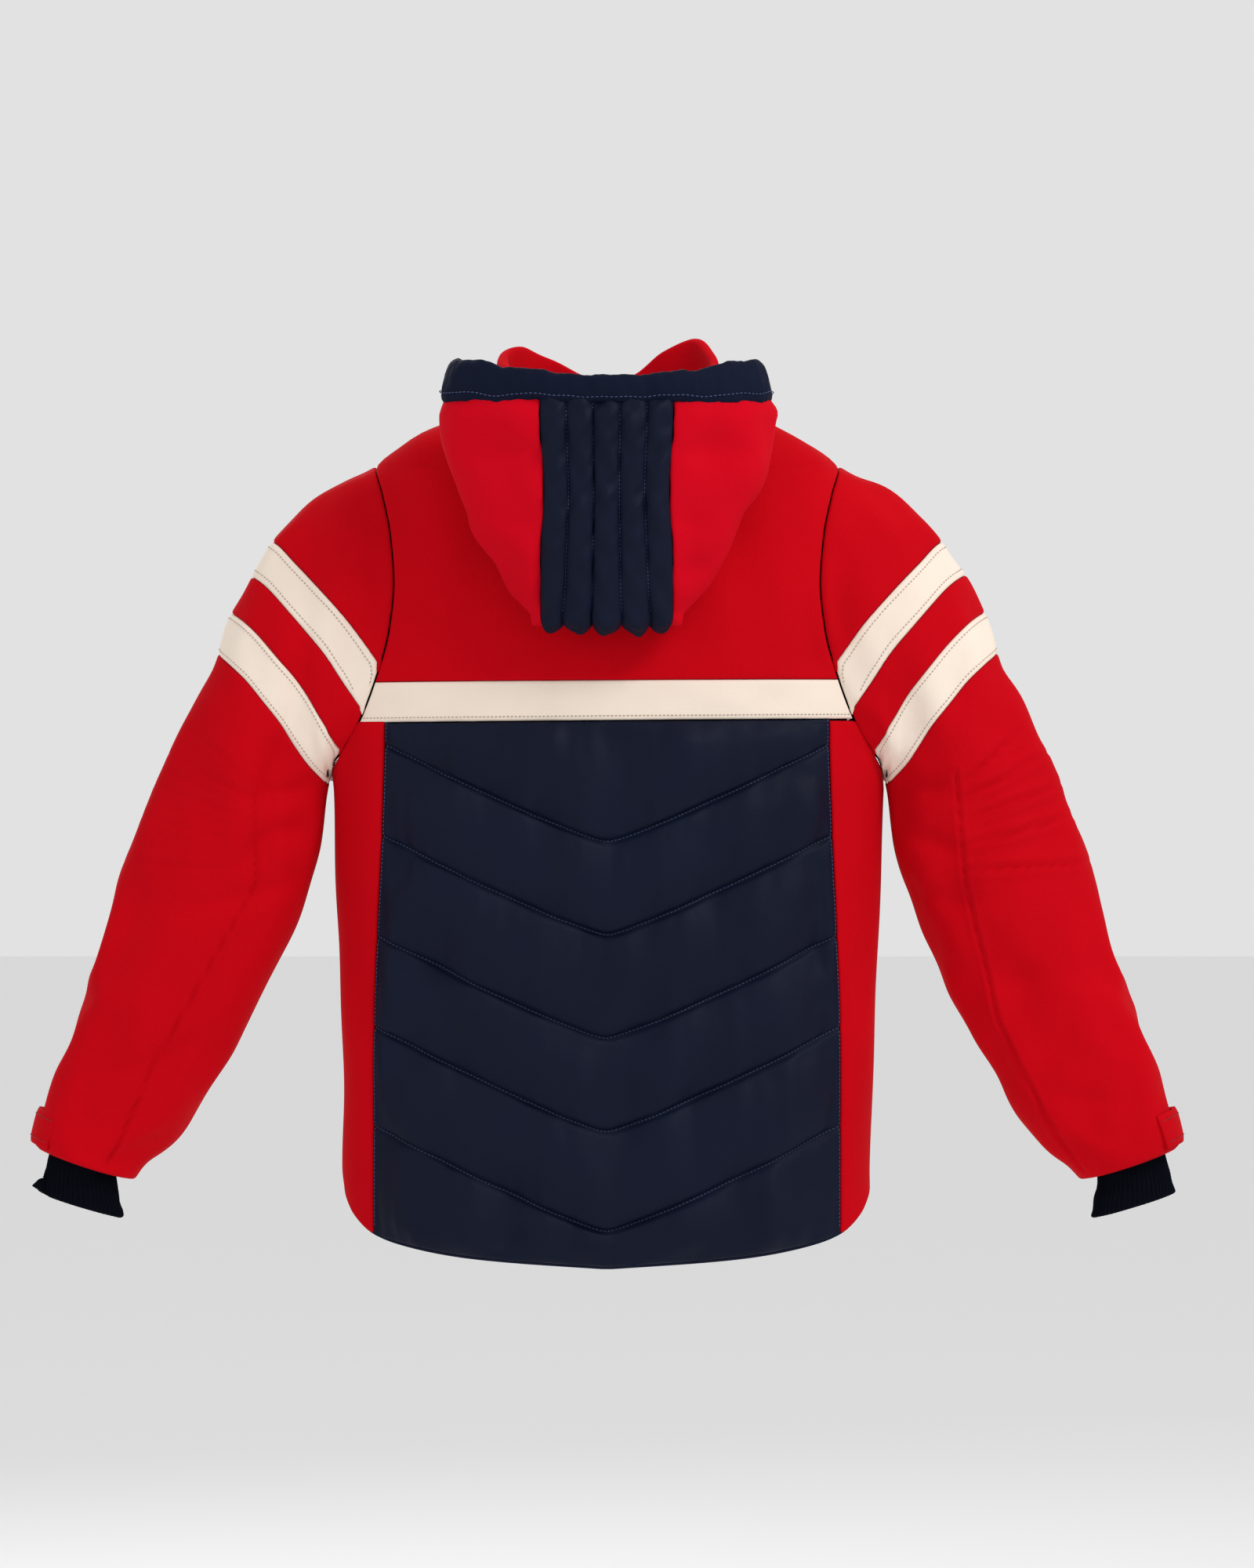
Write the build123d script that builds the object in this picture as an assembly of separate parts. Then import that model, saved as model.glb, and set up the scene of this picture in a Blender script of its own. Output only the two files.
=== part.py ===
"""Hooded ski jacket, hanging with its front zip undone, in millimetres.

The front faces -Y, the wearer's left is +X and +Z is up. The origin is the middle of the neck
opening, level with the back neck seam, where a hanger's neck sits. Every cut panel is a closed
solid of its own: outer panels, wadding and lining lie inside each other with a small gap.
"""

import os
from math import cos, hypot, radians, sin

from build123d import *

# ---- driving dimensions -------------------------------------------------------------------
SHELL = 5.0  # outer panel of the body
PADDED_SHELL = 10.6  # outer panel where the wadding is quilted to it
WADDING_IN, WADDING_OUT = 5.4, 10.6
LINING_IN, LINING_OUT = 11.0, 13.0
SLEEVE_SHELL = 8.6
SLEEVE_LINING_IN, SLEEVE_LINING_OUT = 9.0, 11.0
HOOD_SHELL = 8.0
HOOD_LINING_IN, HOOD_LINING_OUT = 8.4, 10.4
COLLAR_THICK = 6.0
TOUCH = 0.4  # clearance between neighbours of different cut
JOINT_GAP = 1.2  # clearance where two moving bodies meet

# level, half width, half depth, middle in y of the body's outline
BODY = (
    (40, 60, 38, 0),
    (22, 98, 50, 1),
    (0, 138, 60, 2),
    (-35, 196, 70, 2),
    (-62, 213, 76, 1),
    (-100, 225, 81, 0),
    (-150, 233, 83, 0),
    (-220, 238, 84, 0),
    (-340, 236, 84, 0),
    (-500, 230, 84, 0),
    (-760, 224, 85, 0),
)
COLLAR = ((-76, 83, 61, -3), (76, 99, 71, -3))
COLLAR_TOP = 71.0
HOOD = (
    (64, 147, 62, 112),
    (0, 143, 58, 112),
    (-40, 134, 50, 112),
    (-85, 117, 41, 112),
    (-130, 93, 30, 111),
    (-160, 70, 21, 110),
    (-175, 50, 14, 109),
)
# outer edge x z, inner edge x z and half depth of the left sleeve's outline
SLEEVE = (
    (156, -10, 202, -291, 54),
    (198, -35, 218, -292, 58),
    (238, -60, 232, -292, 61),
    (283, -105, 238, -298, 62),
    (318, -162, 242, -304, 60),
    (347, -222, 246, -316, 58),
    (385, -310, 252, -362, 54),
    (415, -385, 277, -438, 52),
    (451, -486, 322, -533, 50),
    (475, -553, 362, -602, 46),
    (493, -622, 408, -652, 38),
)
GAITER = (
    (467, -590, 406, -612, 27),
    (481, -634, 423, -652, 24),
    (488, -663, 417, -684, 26),
)

FRONT_GAP = 14.0  # half the space between the two front edges, without the zip
CHAIN_EDGE = 3.5  # the zip teeth's distance from the middle
FOLD_X, FOLD_SLOPE = 90.0, 0.084  # the fold that a front opens about: x at z 0, and x per -z
FLAP_Y = -21.0  # everything that opens with a front is ahead of this plane
STRIPE_TOP, STRIPE_BOTTOM = -223.0, -257.0
BACK_PANEL_X = 200.0
CENTRE_BACK_X = 56.0  # half width of the hood's quilted middle panel
RIM_TOP, RIM_BOTTOM = 56.0, 22.0
MOUTH = (108.0, 106.0, -6.0)  # half width, reach in y and foot of the hood's mouth
SLEEVE_STRIPE_ANGLE = 50.0
SLEEVE_STRIPES = (287.0, 321.0, 355.0, 389.0)
ELBOW = (339.0, 8.0, -392.0)
ELBOW_ANGLE = 20.0  # the sleeve's lean from the vertical at the elbow
ELBOW_NOTCH = 31.0  # half the wedge left open ahead of the elbow
SKIRT_TOP, SKIRT_BOTTOM = -480.0, -590.0
ZIP_BOTTOM, ZIP_STRAIGHT_TOP = -648.0, -118.0
POCKET_LOW, POCKET_HIGH = (178.0, -52.6, -600.0), (166.0, -58.7, -456.0)
POCKET_TURN = 22.5  # how far the pocket zip's face turns with the body's side
FAR = 900.0


# ---- shapes ------------------------------------------------------------------------------
def sections(stations, grow, sink=0.0):
    """Level ellipses, grown by a distance, with those between the ends moved down."""
    faces = []
    for i, (z, half_x, half_y, mid) in enumerate(stations):
        down = sink if 0 < i < len(stations) - 1 else 0
        faces.append(Pos(0, mid, z - down) * Ellipse(half_x + grow, half_y + grow))
    return [face.face() for face in faces]


def tube_sections(stations, grow):
    """Ellipses along a sleeve, from its outer and inner edges."""
    faces = []
    for x_out, z_out, x_in, z_in, depth in stations:
        half = hypot(x_out - x_in, z_out - z_in) / 2
        across = ((x_out - x_in) / 2 / half, 0, (z_out - z_in) / 2 / half)
        along = (-across[2], 0, across[0])
        middle = ((x_out + x_in) / 2, 0, (z_out + z_in) / 2)
        plane = Plane(origin=middle, x_dir=across, z_dir=along)
        faces.append((plane * Ellipse(half + grow, depth + grow)).face())
    return faces


def walls(faces):
    """The ruled side faces between each section and the next."""
    sides = []
    for below, above in zip(faces, faces[1:]):
        step = loft([below, above], ruled=True)
        sides += [f for f in step.faces() if f.geom_type != GeomType.PLANE]
    return sides


def skin(faces):
    """The solid that runs through the sections."""
    return Solid(Shell([faces[0], *walls(faces), faces[-1]]))


def hollow(outer, inner):
    """The layer between two rows of sections that end in the same planes."""
    ends = [Face(outer[i].outer_wire(), [inner[i].outer_wire()]) for i in (0, -1)]
    return Solid(Shell([ends[0], *walls(outer), *walls(inner), ends[1]]))


def body_sections(grow):
    return sections(BODY, grow, sink=-0.5 * grow)


def hood_volume(grow):
    foot = HOOD[-1]
    return skin(sections([*HOOD[:-1], (foot[0] - grow, *foot[1:])], grow))


def prism_xz(points, y_from, y_to):
    """A closed outline in x and z, drawn out along y."""
    face = Plane.XZ * make_face(Polyline(*points, close=True))
    return Pos(0, y_to, 0) * extrude(face, y_to - y_from)


def prism_yz(points, x_from, x_to):
    """A closed outline in y and z, drawn out along x."""
    face = Plane.YZ * make_face(Polyline(*points, close=True))
    return Pos(x_from, 0, 0) * extrude(face, x_to - x_from)


def block(x0, x1, y0, y1, z0, z1):
    return Pos((x0 + x1) / 2, (y0 + y1) / 2, (z0 + z1) / 2) * Box(x1 - x0, y1 - y0, z1 - z0)


def slab(low, high, angle):
    """The space between two planes across a sleeve, at distances from the origin."""
    normal = Vector(sin(radians(angle)), 0, -cos(radians(angle)))
    plane = Plane(origin=normal * ((low + high) / 2), x_dir=(0, 1, 0), z_dir=normal)
    return plane * Box(FAR, 2 * FAR, high - low)


def largest(shape):
    return max(shape.solids(), key=lambda s: s.volume)


def mirrored(shape):
    return mirror(shape, about=Plane.YZ)


def fold_x(z):
    return FOLD_X - FOLD_SLOPE * z


# ---- the body's cutting regions ------------------------------------------------------------
def armhole(shift):
    """The space outside the left armhole seam."""
    curve = ThreePointArc((200, -30), (182, -140), (216, -266))
    seam = [curve @ t for t in (0, 0.2, 0.4, 0.6, 0.8, 1)]
    points = [(200, 90), *[(p.X, p.Y) for p in seam], (240, -300), (240, -900), (640, -900), (640, 90)]
    return Pos(-shift, 0, 0) * prism_xz(points, -150, 150)


def hem_cut():
    """The space under the hem: the back drops lower than the front."""
    back = Spline((-262, -560), (-226, -655), (-200, -692), (-110, -713), (0, -721),
                  (110, -713), (200, -692), (226, -655), (262, -560))
    front = Spline((-262, -600), (-226, -646), (-150, -656), (0, -660),
                   (150, -656), (226, -646), (262, -600))
    spaces = []
    for edge, y_to in ((back, 150), (front, 0)):
        under = make_face(edge + Polyline(edge @ 1, (300, -900), (-300, -900), edge @ 0))
        spaces.append(Pos(0, y_to, 0) * extrude(Plane.XZ * under, 150))
    return spaces[0] + spaces[1]


def flap_space(edge, grow):
    """The space of the left front that opens, from edge in x to the fold."""
    low, high = -760, 75
    points = [(edge, low), (fold_x(low) + grow, low), (fold_x(high) + grow, high), (edge, high)]
    return prism_xz(points, -150, FLAP_Y + grow)


HEM = hem_cut()
ARMHOLES = armhole(JOINT_GAP) + mirrored(armhole(JOINT_GAP))
NECK = skin(sections(COLLAR, TOUCH))


def body_layer(outer, inner):
    """A layer of the body between two depths, with hem, neck and armholes open."""
    layer = hollow(body_sections(-outer), body_sections(-inner))
    return layer - block(-200, 200, -150, 150, 24, 90) - NECK - HEM - ARMHOLES


def fixed_part(layer):
    """What stays when the fronts open."""
    opening = flap_space(0, JOINT_GAP)
    return layer - opening - mirrored(opening)


def body_nodes():
    """The outer panels, wadding, lining and powder skirt that don't open with the fronts."""
    nodes = {}
    outer = fixed_part(body_layer(0, SHELL))
    back = block(-FAR, FAR, 0, FAR, -FAR, FAR)
    front = block(-FAR, FAR, -FAR, 0, -FAR, FAR)
    yoke = outer & block(-FAR, FAR, -FAR, FAR, STRIPE_TOP, FAR)
    stripe = outer & block(-FAR, FAR, -FAR, FAR, STRIPE_BOTTOM, STRIPE_TOP)
    lower = outer & block(-FAR, FAR, -FAR, FAR, -FAR, STRIPE_BOTTOM)
    quilt_space = block(-BACK_PANEL_X, BACK_PANEL_X, 0, FAR, -FAR, FAR)
    nodes["back_yoke"] = largest(yoke & back)
    nodes["back_stripe"] = largest(stripe & back)
    nodes["back_quilted_panel"] = largest(lower & quilt_space)
    sides = lower - quilt_space
    for side, x0, x1 in (("left", 0, FAR), ("right", -FAR, 0)):
        half = block(x0, x1, -FAR, FAR, -FAR, FAR)
        nodes[f"front_yoke_{side}"] = largest(yoke & front & half)
        nodes[f"front_stripe_{side}"] = largest(stripe & front & half)
        nodes[f"side_panel_{side}"] = largest(sides & half)
    nodes["body_wadding"] = largest(fixed_part(body_layer(WADDING_IN, WADDING_OUT)))
    nodes["body_lining"] = largest(fixed_part(body_layer(LINING_IN, LINING_OUT)))
    skirt = fixed_part(body_layer(LINING_OUT + TOUCH, LINING_OUT + TOUCH + 2))
    nodes["powder_skirt"] = largest(skirt & block(-FAR, FAR, -FAR, FAR, SKIRT_BOTTOM, SKIRT_TOP))
    return nodes


def front_nodes():
    """The left front's opening panels, with their wadding quilted in, and the lining."""
    space = flap_space(FRONT_GAP, 0)
    outer = body_layer(0, PADDED_SHELL) & space
    nodes = {
        "front_centre_yoke": outer & block(-FAR, FAR, -FAR, FAR, STRIPE_TOP, FAR),
        "front_centre_stripe": outer & block(-FAR, FAR, -FAR, FAR, STRIPE_BOTTOM, STRIPE_TOP),
        "front_quilted_panel": outer & block(-FAR, FAR, -FAR, FAR, -FAR, STRIPE_BOTTOM),
        "front_lining": body_layer(LINING_IN, LINING_OUT) & space,
    }
    return {name: largest(shape) for name, shape in nodes.items()}


def collar_nodes():
    """The stand-up collar: a back that stays and two fronts that open."""
    band = hollow(sections(COLLAR, 0), sections(COLLAR, -COLLAR_THICK)) - skin(body_sections(TOUCH))
    band = band & block(-FAR, FAR, -FAR, FAR, -FAR, COLLAR_TOP)
    back = band & block(-FAR, FAR, FLAP_Y + JOINT_GAP, FAR, -FAR, FAR)
    front = band & block(FRONT_GAP, FAR, -FAR, FLAP_Y, -FAR, FAR)
    return largest(back), largest(front)


def zip_path():
    """The zip's line in y and z: straight up the front, back to the collar's foot and up it."""
    straight = [(-81.5, ZIP_BOTTOM), (-81.5, ZIP_STRAIGHT_TOP)]
    return [*straight, (-72.8, -62), (-63.6, -26), (-69.8, COLLAR_TOP - 4)]


def ribbon(path, front, back):
    """A closed strip outline that follows a path, from front to back of it in y."""
    return [(y - front, z) for y, z in path] + [(y + back, z) for y, z in reversed(path)]


def zip_chain():
    """The left half of the front zip: its tape, and the bead of teeth on the tape's edge."""
    tape = prism_yz(ribbon(zip_path(), 0.5, 0.5), CHAIN_EDGE + 1.5, FRONT_GAP - 0.2)
    teeth = prism_yz(ribbon(zip_path(), 1.3, 1.3), CHAIN_EDGE, CHAIN_EDGE + 3)
    return largest(tape + teeth)


def storm_flap():
    """The wind guard sewn behind the right front's zip."""
    low, high = ZIP_BOTTOM + 14, ZIP_STRAIGHT_TOP
    path = [(-67.9, low), (-67.9, -220), (-66.8, -150), (-65.4, high)]
    return prism_yz(ribbon(path, 1.4, 1.4), -46, -3.2)


PIN_AHEAD = 2.5  # a zip pull's pin, ahead of its slider's face


def zip_slider(wide, tall, thick, slot, slot_from):
    """A slider facing -Y: two plates round a slot, with two lugs and the pull's pin."""
    body = fillet(Box(wide, thick, tall).edges().filter_by(Axis.Y), wide * 0.22)
    body -= Pos(slot_from + FAR / 2, 0, 0) * Box(FAR, slot, 2 * tall)
    lug = Box(1.2, 4.2, 4.0)
    y = -thick / 2 - 1.9
    lugs = Pos(-3.1, y, 0) * lug + Pos(3.1, y, 0) * lug
    pin = Pos(0, -thick / 2 - PIN_AHEAD, 0) * Rot(0, 90, 0) * Cylinder(1.0, 6.4)
    return body + lugs + pin


def zip_pull(length):
    """A pull that hangs from a slider's pin at the origin: an eye, a shank and a grip."""
    eye = Rot(0, 90, 0) * Cylinder(2.0, 4.6)
    shank = Pos(0, 0, -length * 0.25) * Box(3.4, 1.4, length * 0.5)
    grip = Pos(0, 0, -length * 0.72) * Box(7.0, 2.2, length * 0.56)
    grip = fillet(grip.edges().filter_by(Axis.Y), 2.4)
    hole = Rot(0, 90, 0) * Cylinder(1.06, 8)
    return eye + shank + grip - hole


SLIDER = (11.5, 14.0, 9.0)  # wide, tall, thick
SLIDER_AT = (5.4, -81.5, ZIP_BOTTOM + 8)


def front_slider_nodes():
    wide, tall, thick = SLIDER
    slider = Pos(*SLIDER_AT) * zip_slider(wide, tall, thick, 3.4, -2.5)
    pin = (SLIDER_AT[0], SLIDER_AT[1] - thick / 2 - PIN_AHEAD, SLIDER_AT[2])
    return slider, Pos(*pin) * zip_pull(34)


# ---- hand pockets -------------------------------------------------------------------------
POCKET_SLIDER = (9.0, 11.0, 2.4)


def pocket_plane():
    """The left hand pocket's frame: z up the zip, -y out of the jacket."""
    low, high = Vector(*POCKET_LOW), Vector(*POCKET_HIGH)
    up = (high - low).normalized()
    out = Vector(-sin(radians(-POCKET_TURN)), -cos(radians(POCKET_TURN)), 0)
    side = up.cross(out).normalized()
    return Plane(origin=(low + high) / 2, x_dir=side, z_dir=up)


def pocket_nodes():
    """The pocket's welted zip, its slider at the foot and the slider's pull."""
    plane = pocket_plane()
    half = (Vector(*POCKET_HIGH) - Vector(*POCKET_LOW)).length / 2
    welt = fillet(Box(13, 8, 2 * half).edges().filter_by(Axis.Z), 1.2)
    welt = Pos(0, 1.6, 0) * welt
    slot = Pos(0, 1.6, 0) * Box(13.6, 30, 2 * half + 0.6)
    wide, tall, thick = POCKET_SLIDER
    y = -2.4 - 0.3 - thick / 2
    z = 10 - half
    slider = Pos(0, y, z) * zip_slider(wide, tall, thick, 0.1, wide)
    pull = Pos(0, y - thick / 2 - PIN_AHEAD, z) * zip_pull(28)
    return plane * welt, plane * slot, plane * slider, plane * pull


# ---- sleeves -------------------------------------------------------------------------------
def elbow_wedge(sign):
    """The space past the elbow: beyond it for sign 1, before it for sign -1.

    Behind the elbow's hinge the cut is square to the sleeve, and ahead of it each side leans
    back, so that the two halves fold together without meeting.
    """
    lean = radians(ELBOW_NOTCH)
    points = [(0, 0), (150, 0), (150, 700), (-150, 700), (-150, 150 * sin(lean) / cos(lean)), (0, 0)]
    face = make_face(Polyline(*[(y, s * sign) for y, s in points[:-1]], close=True))
    normal = Vector(sin(radians(ELBOW_ANGLE)), 0, -cos(radians(ELBOW_ANGLE)))
    across = Vector(cos(radians(ELBOW_ANGLE)), 0, sin(radians(ELBOW_ANGLE)))
    plane = Plane(origin=Vector(*ELBOW) + normal * (0.6 * sign), x_dir=(0, 1, 0), z_dir=-across)
    return plane * extrude(face, 500, both=True)


def sleeve_layer(outer, inner):
    return hollow(tube_sections(SLEEVE, -outer), tube_sections(SLEEVE, -inner))


def sleeve_nodes():
    """The left sleeve: cap, stripes and bands above the elbow, forearm, linings and cuff."""
    reach = armhole(0)
    shell = sleeve_layer(0, SLEEVE_SHELL) & reach
    lining = sleeve_layer(SLEEVE_LINING_IN, SLEEVE_LINING_OUT) & reach
    before, beyond = elbow_wedge(-1), elbow_wedge(1)
    upper = shell & before
    levels = (0, *SLEEVE_STRIPES, FAR)
    names = ("sleeve_cap", "sleeve_stripe_upper", "sleeve_band", "sleeve_stripe_lower", "upper_sleeve")
    nodes = {}
    for name, low, high in zip(names, levels, levels[1:]):
        nodes[name] = largest(upper & slab(low, high, SLEEVE_STRIPE_ANGLE))
    nodes["lower_sleeve"] = largest(shell & beyond)
    nodes["upper_sleeve_lining"] = largest(lining & before)
    nodes["lower_sleeve_lining"] = largest(lining & beyond)
    nodes["wrist_gaiter"] = hollow(tube_sections(GAITER, 0), tube_sections(GAITER, -3))
    nodes["cuff_tab"] = cuff_tab()
    return nodes


TAB_LOW, TAB_HIGH = 707.0, 745.0  # along the sleeve, at the cuff's own lean
TAB_ANGLE = 19.4
TAB_SEAM_Y = 12.0


def cuff_tab():
    """The hook-and-loop strap, sewn down behind the cuff's outer edge and closed over its front."""
    band = sleeve_layer(-5.0, -0.8) & slab(TAB_LOW, TAB_HIGH, TAB_ANGLE)
    return largest(band & block(440, FAR, -FAR, TAB_SEAM_Y, -FAR, FAR))


# ---- hood ----------------------------------------------------------------------------------
def hood_layer(outer, inner):
    """A layer of the hanging hood: a pouch behind the neck, open at the top."""
    clear = 2.6

    def pouch(depth):
        space = hood_volume(-depth) - skin(body_sections(clear + depth))
        return space - skin(sections(COLLAR, clear + depth))

    half, reach, foot = MOUTH
    layer = pouch(outer) - pouch(inner) - block(-half, half, 0, reach, foot, 100)
    return layer & block(-FAR, FAR, 0, FAR, -FAR, RIM_TOP)


def hood_nodes():
    shell = hood_layer(0, HOOD_SHELL)
    below = shell & block(-FAR, FAR, -FAR, FAR, -FAR, RIM_BOTTOM)
    edge = CENTRE_BACK_X
    return {
        "hood_binding": largest(shell & block(-FAR, FAR, -FAR, FAR, RIM_BOTTOM, FAR)),
        "hood_centre_panel": largest(below & block(-edge, edge, -FAR, FAR, -FAR, FAR)),
        "hood_side_left": largest(below & block(edge, FAR, -FAR, FAR, -FAR, FAR)),
        "hood_side_right": largest(below & block(-FAR, -edge, -FAR, FAR, -FAR, FAR)),
        "hood_lining": largest(hood_layer(HOOD_LINING_IN, HOOD_LINING_OUT)),
    }


def hang_loop():
    """A webbing loop inside the back neck, for a peg or hook."""
    half, low, rise, wide, thick = 30, -14, 15, 5, 2
    outer = make_face(ThreePointArc((-half, low), (0, low + rise), (half, low)) + Line((half, low), (-half, low)))
    half -= thick * 1.6
    inner = make_face(ThreePointArc((-half, low), (0, low + rise - thick), (half, low)) + Line((half, low), (-half, low)))
    return Pos(0, 51.5, 0) * extrude(Plane.XZ * (outer - inner), wide)


# ---- the whole jacket ------------------------------------------------------------------------
def jacket():
    nodes = body_nodes()
    welt, slot, pocket_slider, pocket_pull = pocket_nodes()
    for side, place in (("left", lambda s: s), ("right", mirrored)):
        for name, shape in front_nodes().items():
            nodes[f"{name}_{side}"] = place(shape)
        for name, shape in sleeve_nodes().items():
            nodes[f"{name}_{side}"] = place(shape)
        nodes[f"front_zip_chain_{side}"] = place(zip_chain())
        nodes[f"pocket_zip_{side}"] = place(welt)
        nodes[f"pocket_slider_{side}"] = place(pocket_slider)
        nodes[f"pocket_pull_{side}"] = place(pocket_pull)
        nodes[f"side_panel_{side}"] = largest(nodes[f"side_panel_{side}"] - place(slot))
    nodes["body_wadding"] = largest(nodes["body_wadding"] - slot - mirrored(slot))
    nodes["collar_back"], collar_front = collar_nodes()
    nodes["collar_front_left"], nodes["collar_front_right"] = collar_front, mirrored(collar_front)
    nodes["storm_flap"] = storm_flap()
    nodes["front_zip_slider"], nodes["front_zip_pull"] = front_slider_nodes()
    nodes["hang_loop"] = hang_loop()
    nodes.update(hood_nodes())
    return nodes


os.makedirs("parts", exist_ok=True)
for node, shape in jacket().items():
    export_step(shape, f"parts/{node}.step")
    size = shape.bounding_box().size
    print(f"{node}: {len(shape.solids())} solid, {shape.volume / 1000:.1f} cm3, "
          f"{size.X:.0f} x {size.Y:.0f} x {size.Z:.0f} mm")
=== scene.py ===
"""Looks of a hooded ski jacket that hangs open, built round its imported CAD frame.

Cloth is laid out as grids over the jacket's outline. Padded and slack pieces are relaxed with
Blender's cloth solver, then get their seams, stitches and thickness. Everything is in metres.
"""

import functools
import math

import bpy
import numpy as np
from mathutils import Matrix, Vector


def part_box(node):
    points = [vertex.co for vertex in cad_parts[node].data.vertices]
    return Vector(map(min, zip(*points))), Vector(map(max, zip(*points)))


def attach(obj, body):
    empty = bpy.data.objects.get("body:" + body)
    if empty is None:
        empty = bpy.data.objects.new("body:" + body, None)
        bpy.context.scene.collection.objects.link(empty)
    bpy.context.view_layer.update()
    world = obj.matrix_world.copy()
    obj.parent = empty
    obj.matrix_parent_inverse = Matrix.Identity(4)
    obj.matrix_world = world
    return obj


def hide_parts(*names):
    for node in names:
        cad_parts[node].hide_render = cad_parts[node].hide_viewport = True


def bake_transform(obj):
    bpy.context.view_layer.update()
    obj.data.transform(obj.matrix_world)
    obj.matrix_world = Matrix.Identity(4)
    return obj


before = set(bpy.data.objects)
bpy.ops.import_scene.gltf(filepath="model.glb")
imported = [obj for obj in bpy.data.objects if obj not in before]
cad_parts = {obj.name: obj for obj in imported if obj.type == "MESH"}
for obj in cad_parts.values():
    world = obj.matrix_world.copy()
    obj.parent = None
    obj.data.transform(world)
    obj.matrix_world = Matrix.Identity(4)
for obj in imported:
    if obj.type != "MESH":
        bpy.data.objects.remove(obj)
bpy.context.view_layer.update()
MM = 0.001


# ---- numbers taken from the frame -----------------------------------------------------------
def low(node):
    return np.array(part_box(node)[0])


def high(node):
    return np.array(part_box(node)[1])


STRIPE_TOP = high("back_stripe")[2]
STRIPE_BOTTOM = low("back_stripe")[2]
HEM_BACK = low("back_quilted_panel")[2]
HEM_FRONT = low("front_quilted_panel_left")[2]
PANEL_X = high("back_quilted_panel")[0]
FRONT_EDGE = low("front_centre_yoke_left")[0]
HOOD_MID_X = high("hood_centre_panel")[0]
SKIRT_TOP, SKIRT_BOTTOM = high("powder_skirt")[2], low("powder_skirt")[2]

# ---- the same outlines as the CAD, written in millimetres ------------------------------------
BODY = np.array((
    (40, 60, 38, 0), (22, 98, 50, 1), (0, 138, 60, 2), (-35, 196, 70, 2), (-62, 213, 76, 1),
    (-100, 225, 81, 0), (-150, 233, 83, 0), (-220, 238, 84, 0), (-340, 236, 84, 0),
    (-500, 230, 84, 0), (-760, 224, 85, 0),
), float) * MM
COLLAR = np.array(((-76, 83, 61, -3), (76, 99, 71, -3)), float) * MM
HOOD = np.array((
    (64, 147, 62, 112), (0, 143, 58, 112), (-40, 134, 50, 112), (-85, 117, 41, 112),
    (-130, 93, 30, 111), (-160, 72, 22, 110), (-178, 54, 15, 109),
), float) * MM
SLEEVE = np.array((
    (156, -10, 202, -291, 54), (198, -35, 218, -292, 58), (238, -60, 232, -292, 61),
    (283, -105, 238, -298, 62), (318, -162, 242, -304, 60), (347, -222, 246, -316, 58),
    (385, -310, 252, -362, 54), (415, -385, 277, -438, 52), (451, -486, 322, -533, 50),
    (475, -553, 362, -602, 46), (493, -622, 408, -652, 38),
), float) * MM
GAITER = np.array((
    (467, -590, 406, -612, 27), (481, -634, 423, -652, 24), (488, -663, 417, -684, 26),
), float) * MM
ARMHOLE = np.array(((-20, 200), (-38, 199.5), (-62, 193), (-100, 185), (-140, 182), (-180, 186),
                    (-220, 197), (-266, 216), (-300, 240)), float) * MM
STRIPE_ANGLE = math.radians(50)
STRIPE_AT = np.array((287, 321, 355, 389)) * MM
SQUARE = 2.2  # squareness of the body's and hood's outlines
MEAN_RADIUS = 0.20  # of the body
SIDE_SPLIT = math.radians(115)  # the angle at which a front's cloth starts
UNDERARM_X = (0.213, 0.2376)  # a side panel's top leaves the stripe at the first
UNDERARM_LEVEL = -0.2975
PANEL_TAPER = 0.010  # how much the back's quilted panel widens below the stripe
STRIPE_SAG, STRIPE_FOOT_SAG = 0.0015, 0.002
HOOD_FOOT = -0.168  # where the hanging hood turns under
CHANNELS = 5  # in the hood's middle panel

# ---- a front's fold, the shoulder and the elbow, and the strips about them that cloth crosses ---
FOLD_X, FOLD_LEAN = 0.090, 0.084  # a front's fold at level 0, and how it leans outwards
FOLD_STRIP = (-0.045, 0.012)
SHOULDER_TILT = math.radians(5)
SHOULDER_STRIP = (0.2098, 0.2165)
SLEEVE_LEAN = math.radians(20)
ELBOW = (0.339, -0.392)
ELBOW_STRIP = (-0.035, 0.06)


# ---- curves ----------------------------------------------------------------------------------
def smooth_table(keys, values, at):
    """Monotone cubic values at the points, from increasing keys."""
    x, y, at = np.asarray(keys, float), np.asarray(values, float), np.asarray(at, float)
    h, d = np.diff(x), np.diff(y) / np.diff(x)
    m = np.zeros_like(y)
    m[0], m[-1] = d[0], d[-1]
    same = d[:-1] * d[1:] > 0
    w1, w2 = 2 * h[1:] + h[:-1], h[1:] + 2 * h[:-1]
    with np.errstate(divide="ignore", invalid="ignore"):
        inner = (w1 + w2) / (w1 / d[:-1] + w2 / d[1:])
    m[1:-1] = np.where(same, inner, 0)
    i = np.clip(np.searchsorted(x, at) - 1, 0, len(h) - 1)
    t = np.clip((at - x[i]) / h[i], 0, 1)
    return ((1 + 2 * t) * (1 - t) ** 2 * y[i] + t * (1 - t) ** 2 * h[i] * m[i]
            + t * t * (3 - 2 * t) * y[i + 1] + t * t * (t - 1) * h[i] * m[i + 1])


def by_level(table, column, z):
    """A column of a table of levels, which go down, at the levels z."""
    return smooth_table(-table[:, 0], table[:, column], -np.asarray(z, float))


def ease(t):
    t = np.clip(t, 0, 1)
    return t * t * (3 - 2 * t)


def oval(theta, half_x, half_y, power=SQUARE):
    """x and y of an outline at an angle from the back, towards +X."""
    s, c = np.sin(theta), np.cos(theta)
    r = (np.abs(s) ** power + np.abs(c) ** power) ** (-1 / power)
    return half_x * r * s, half_y * r * c


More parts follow.
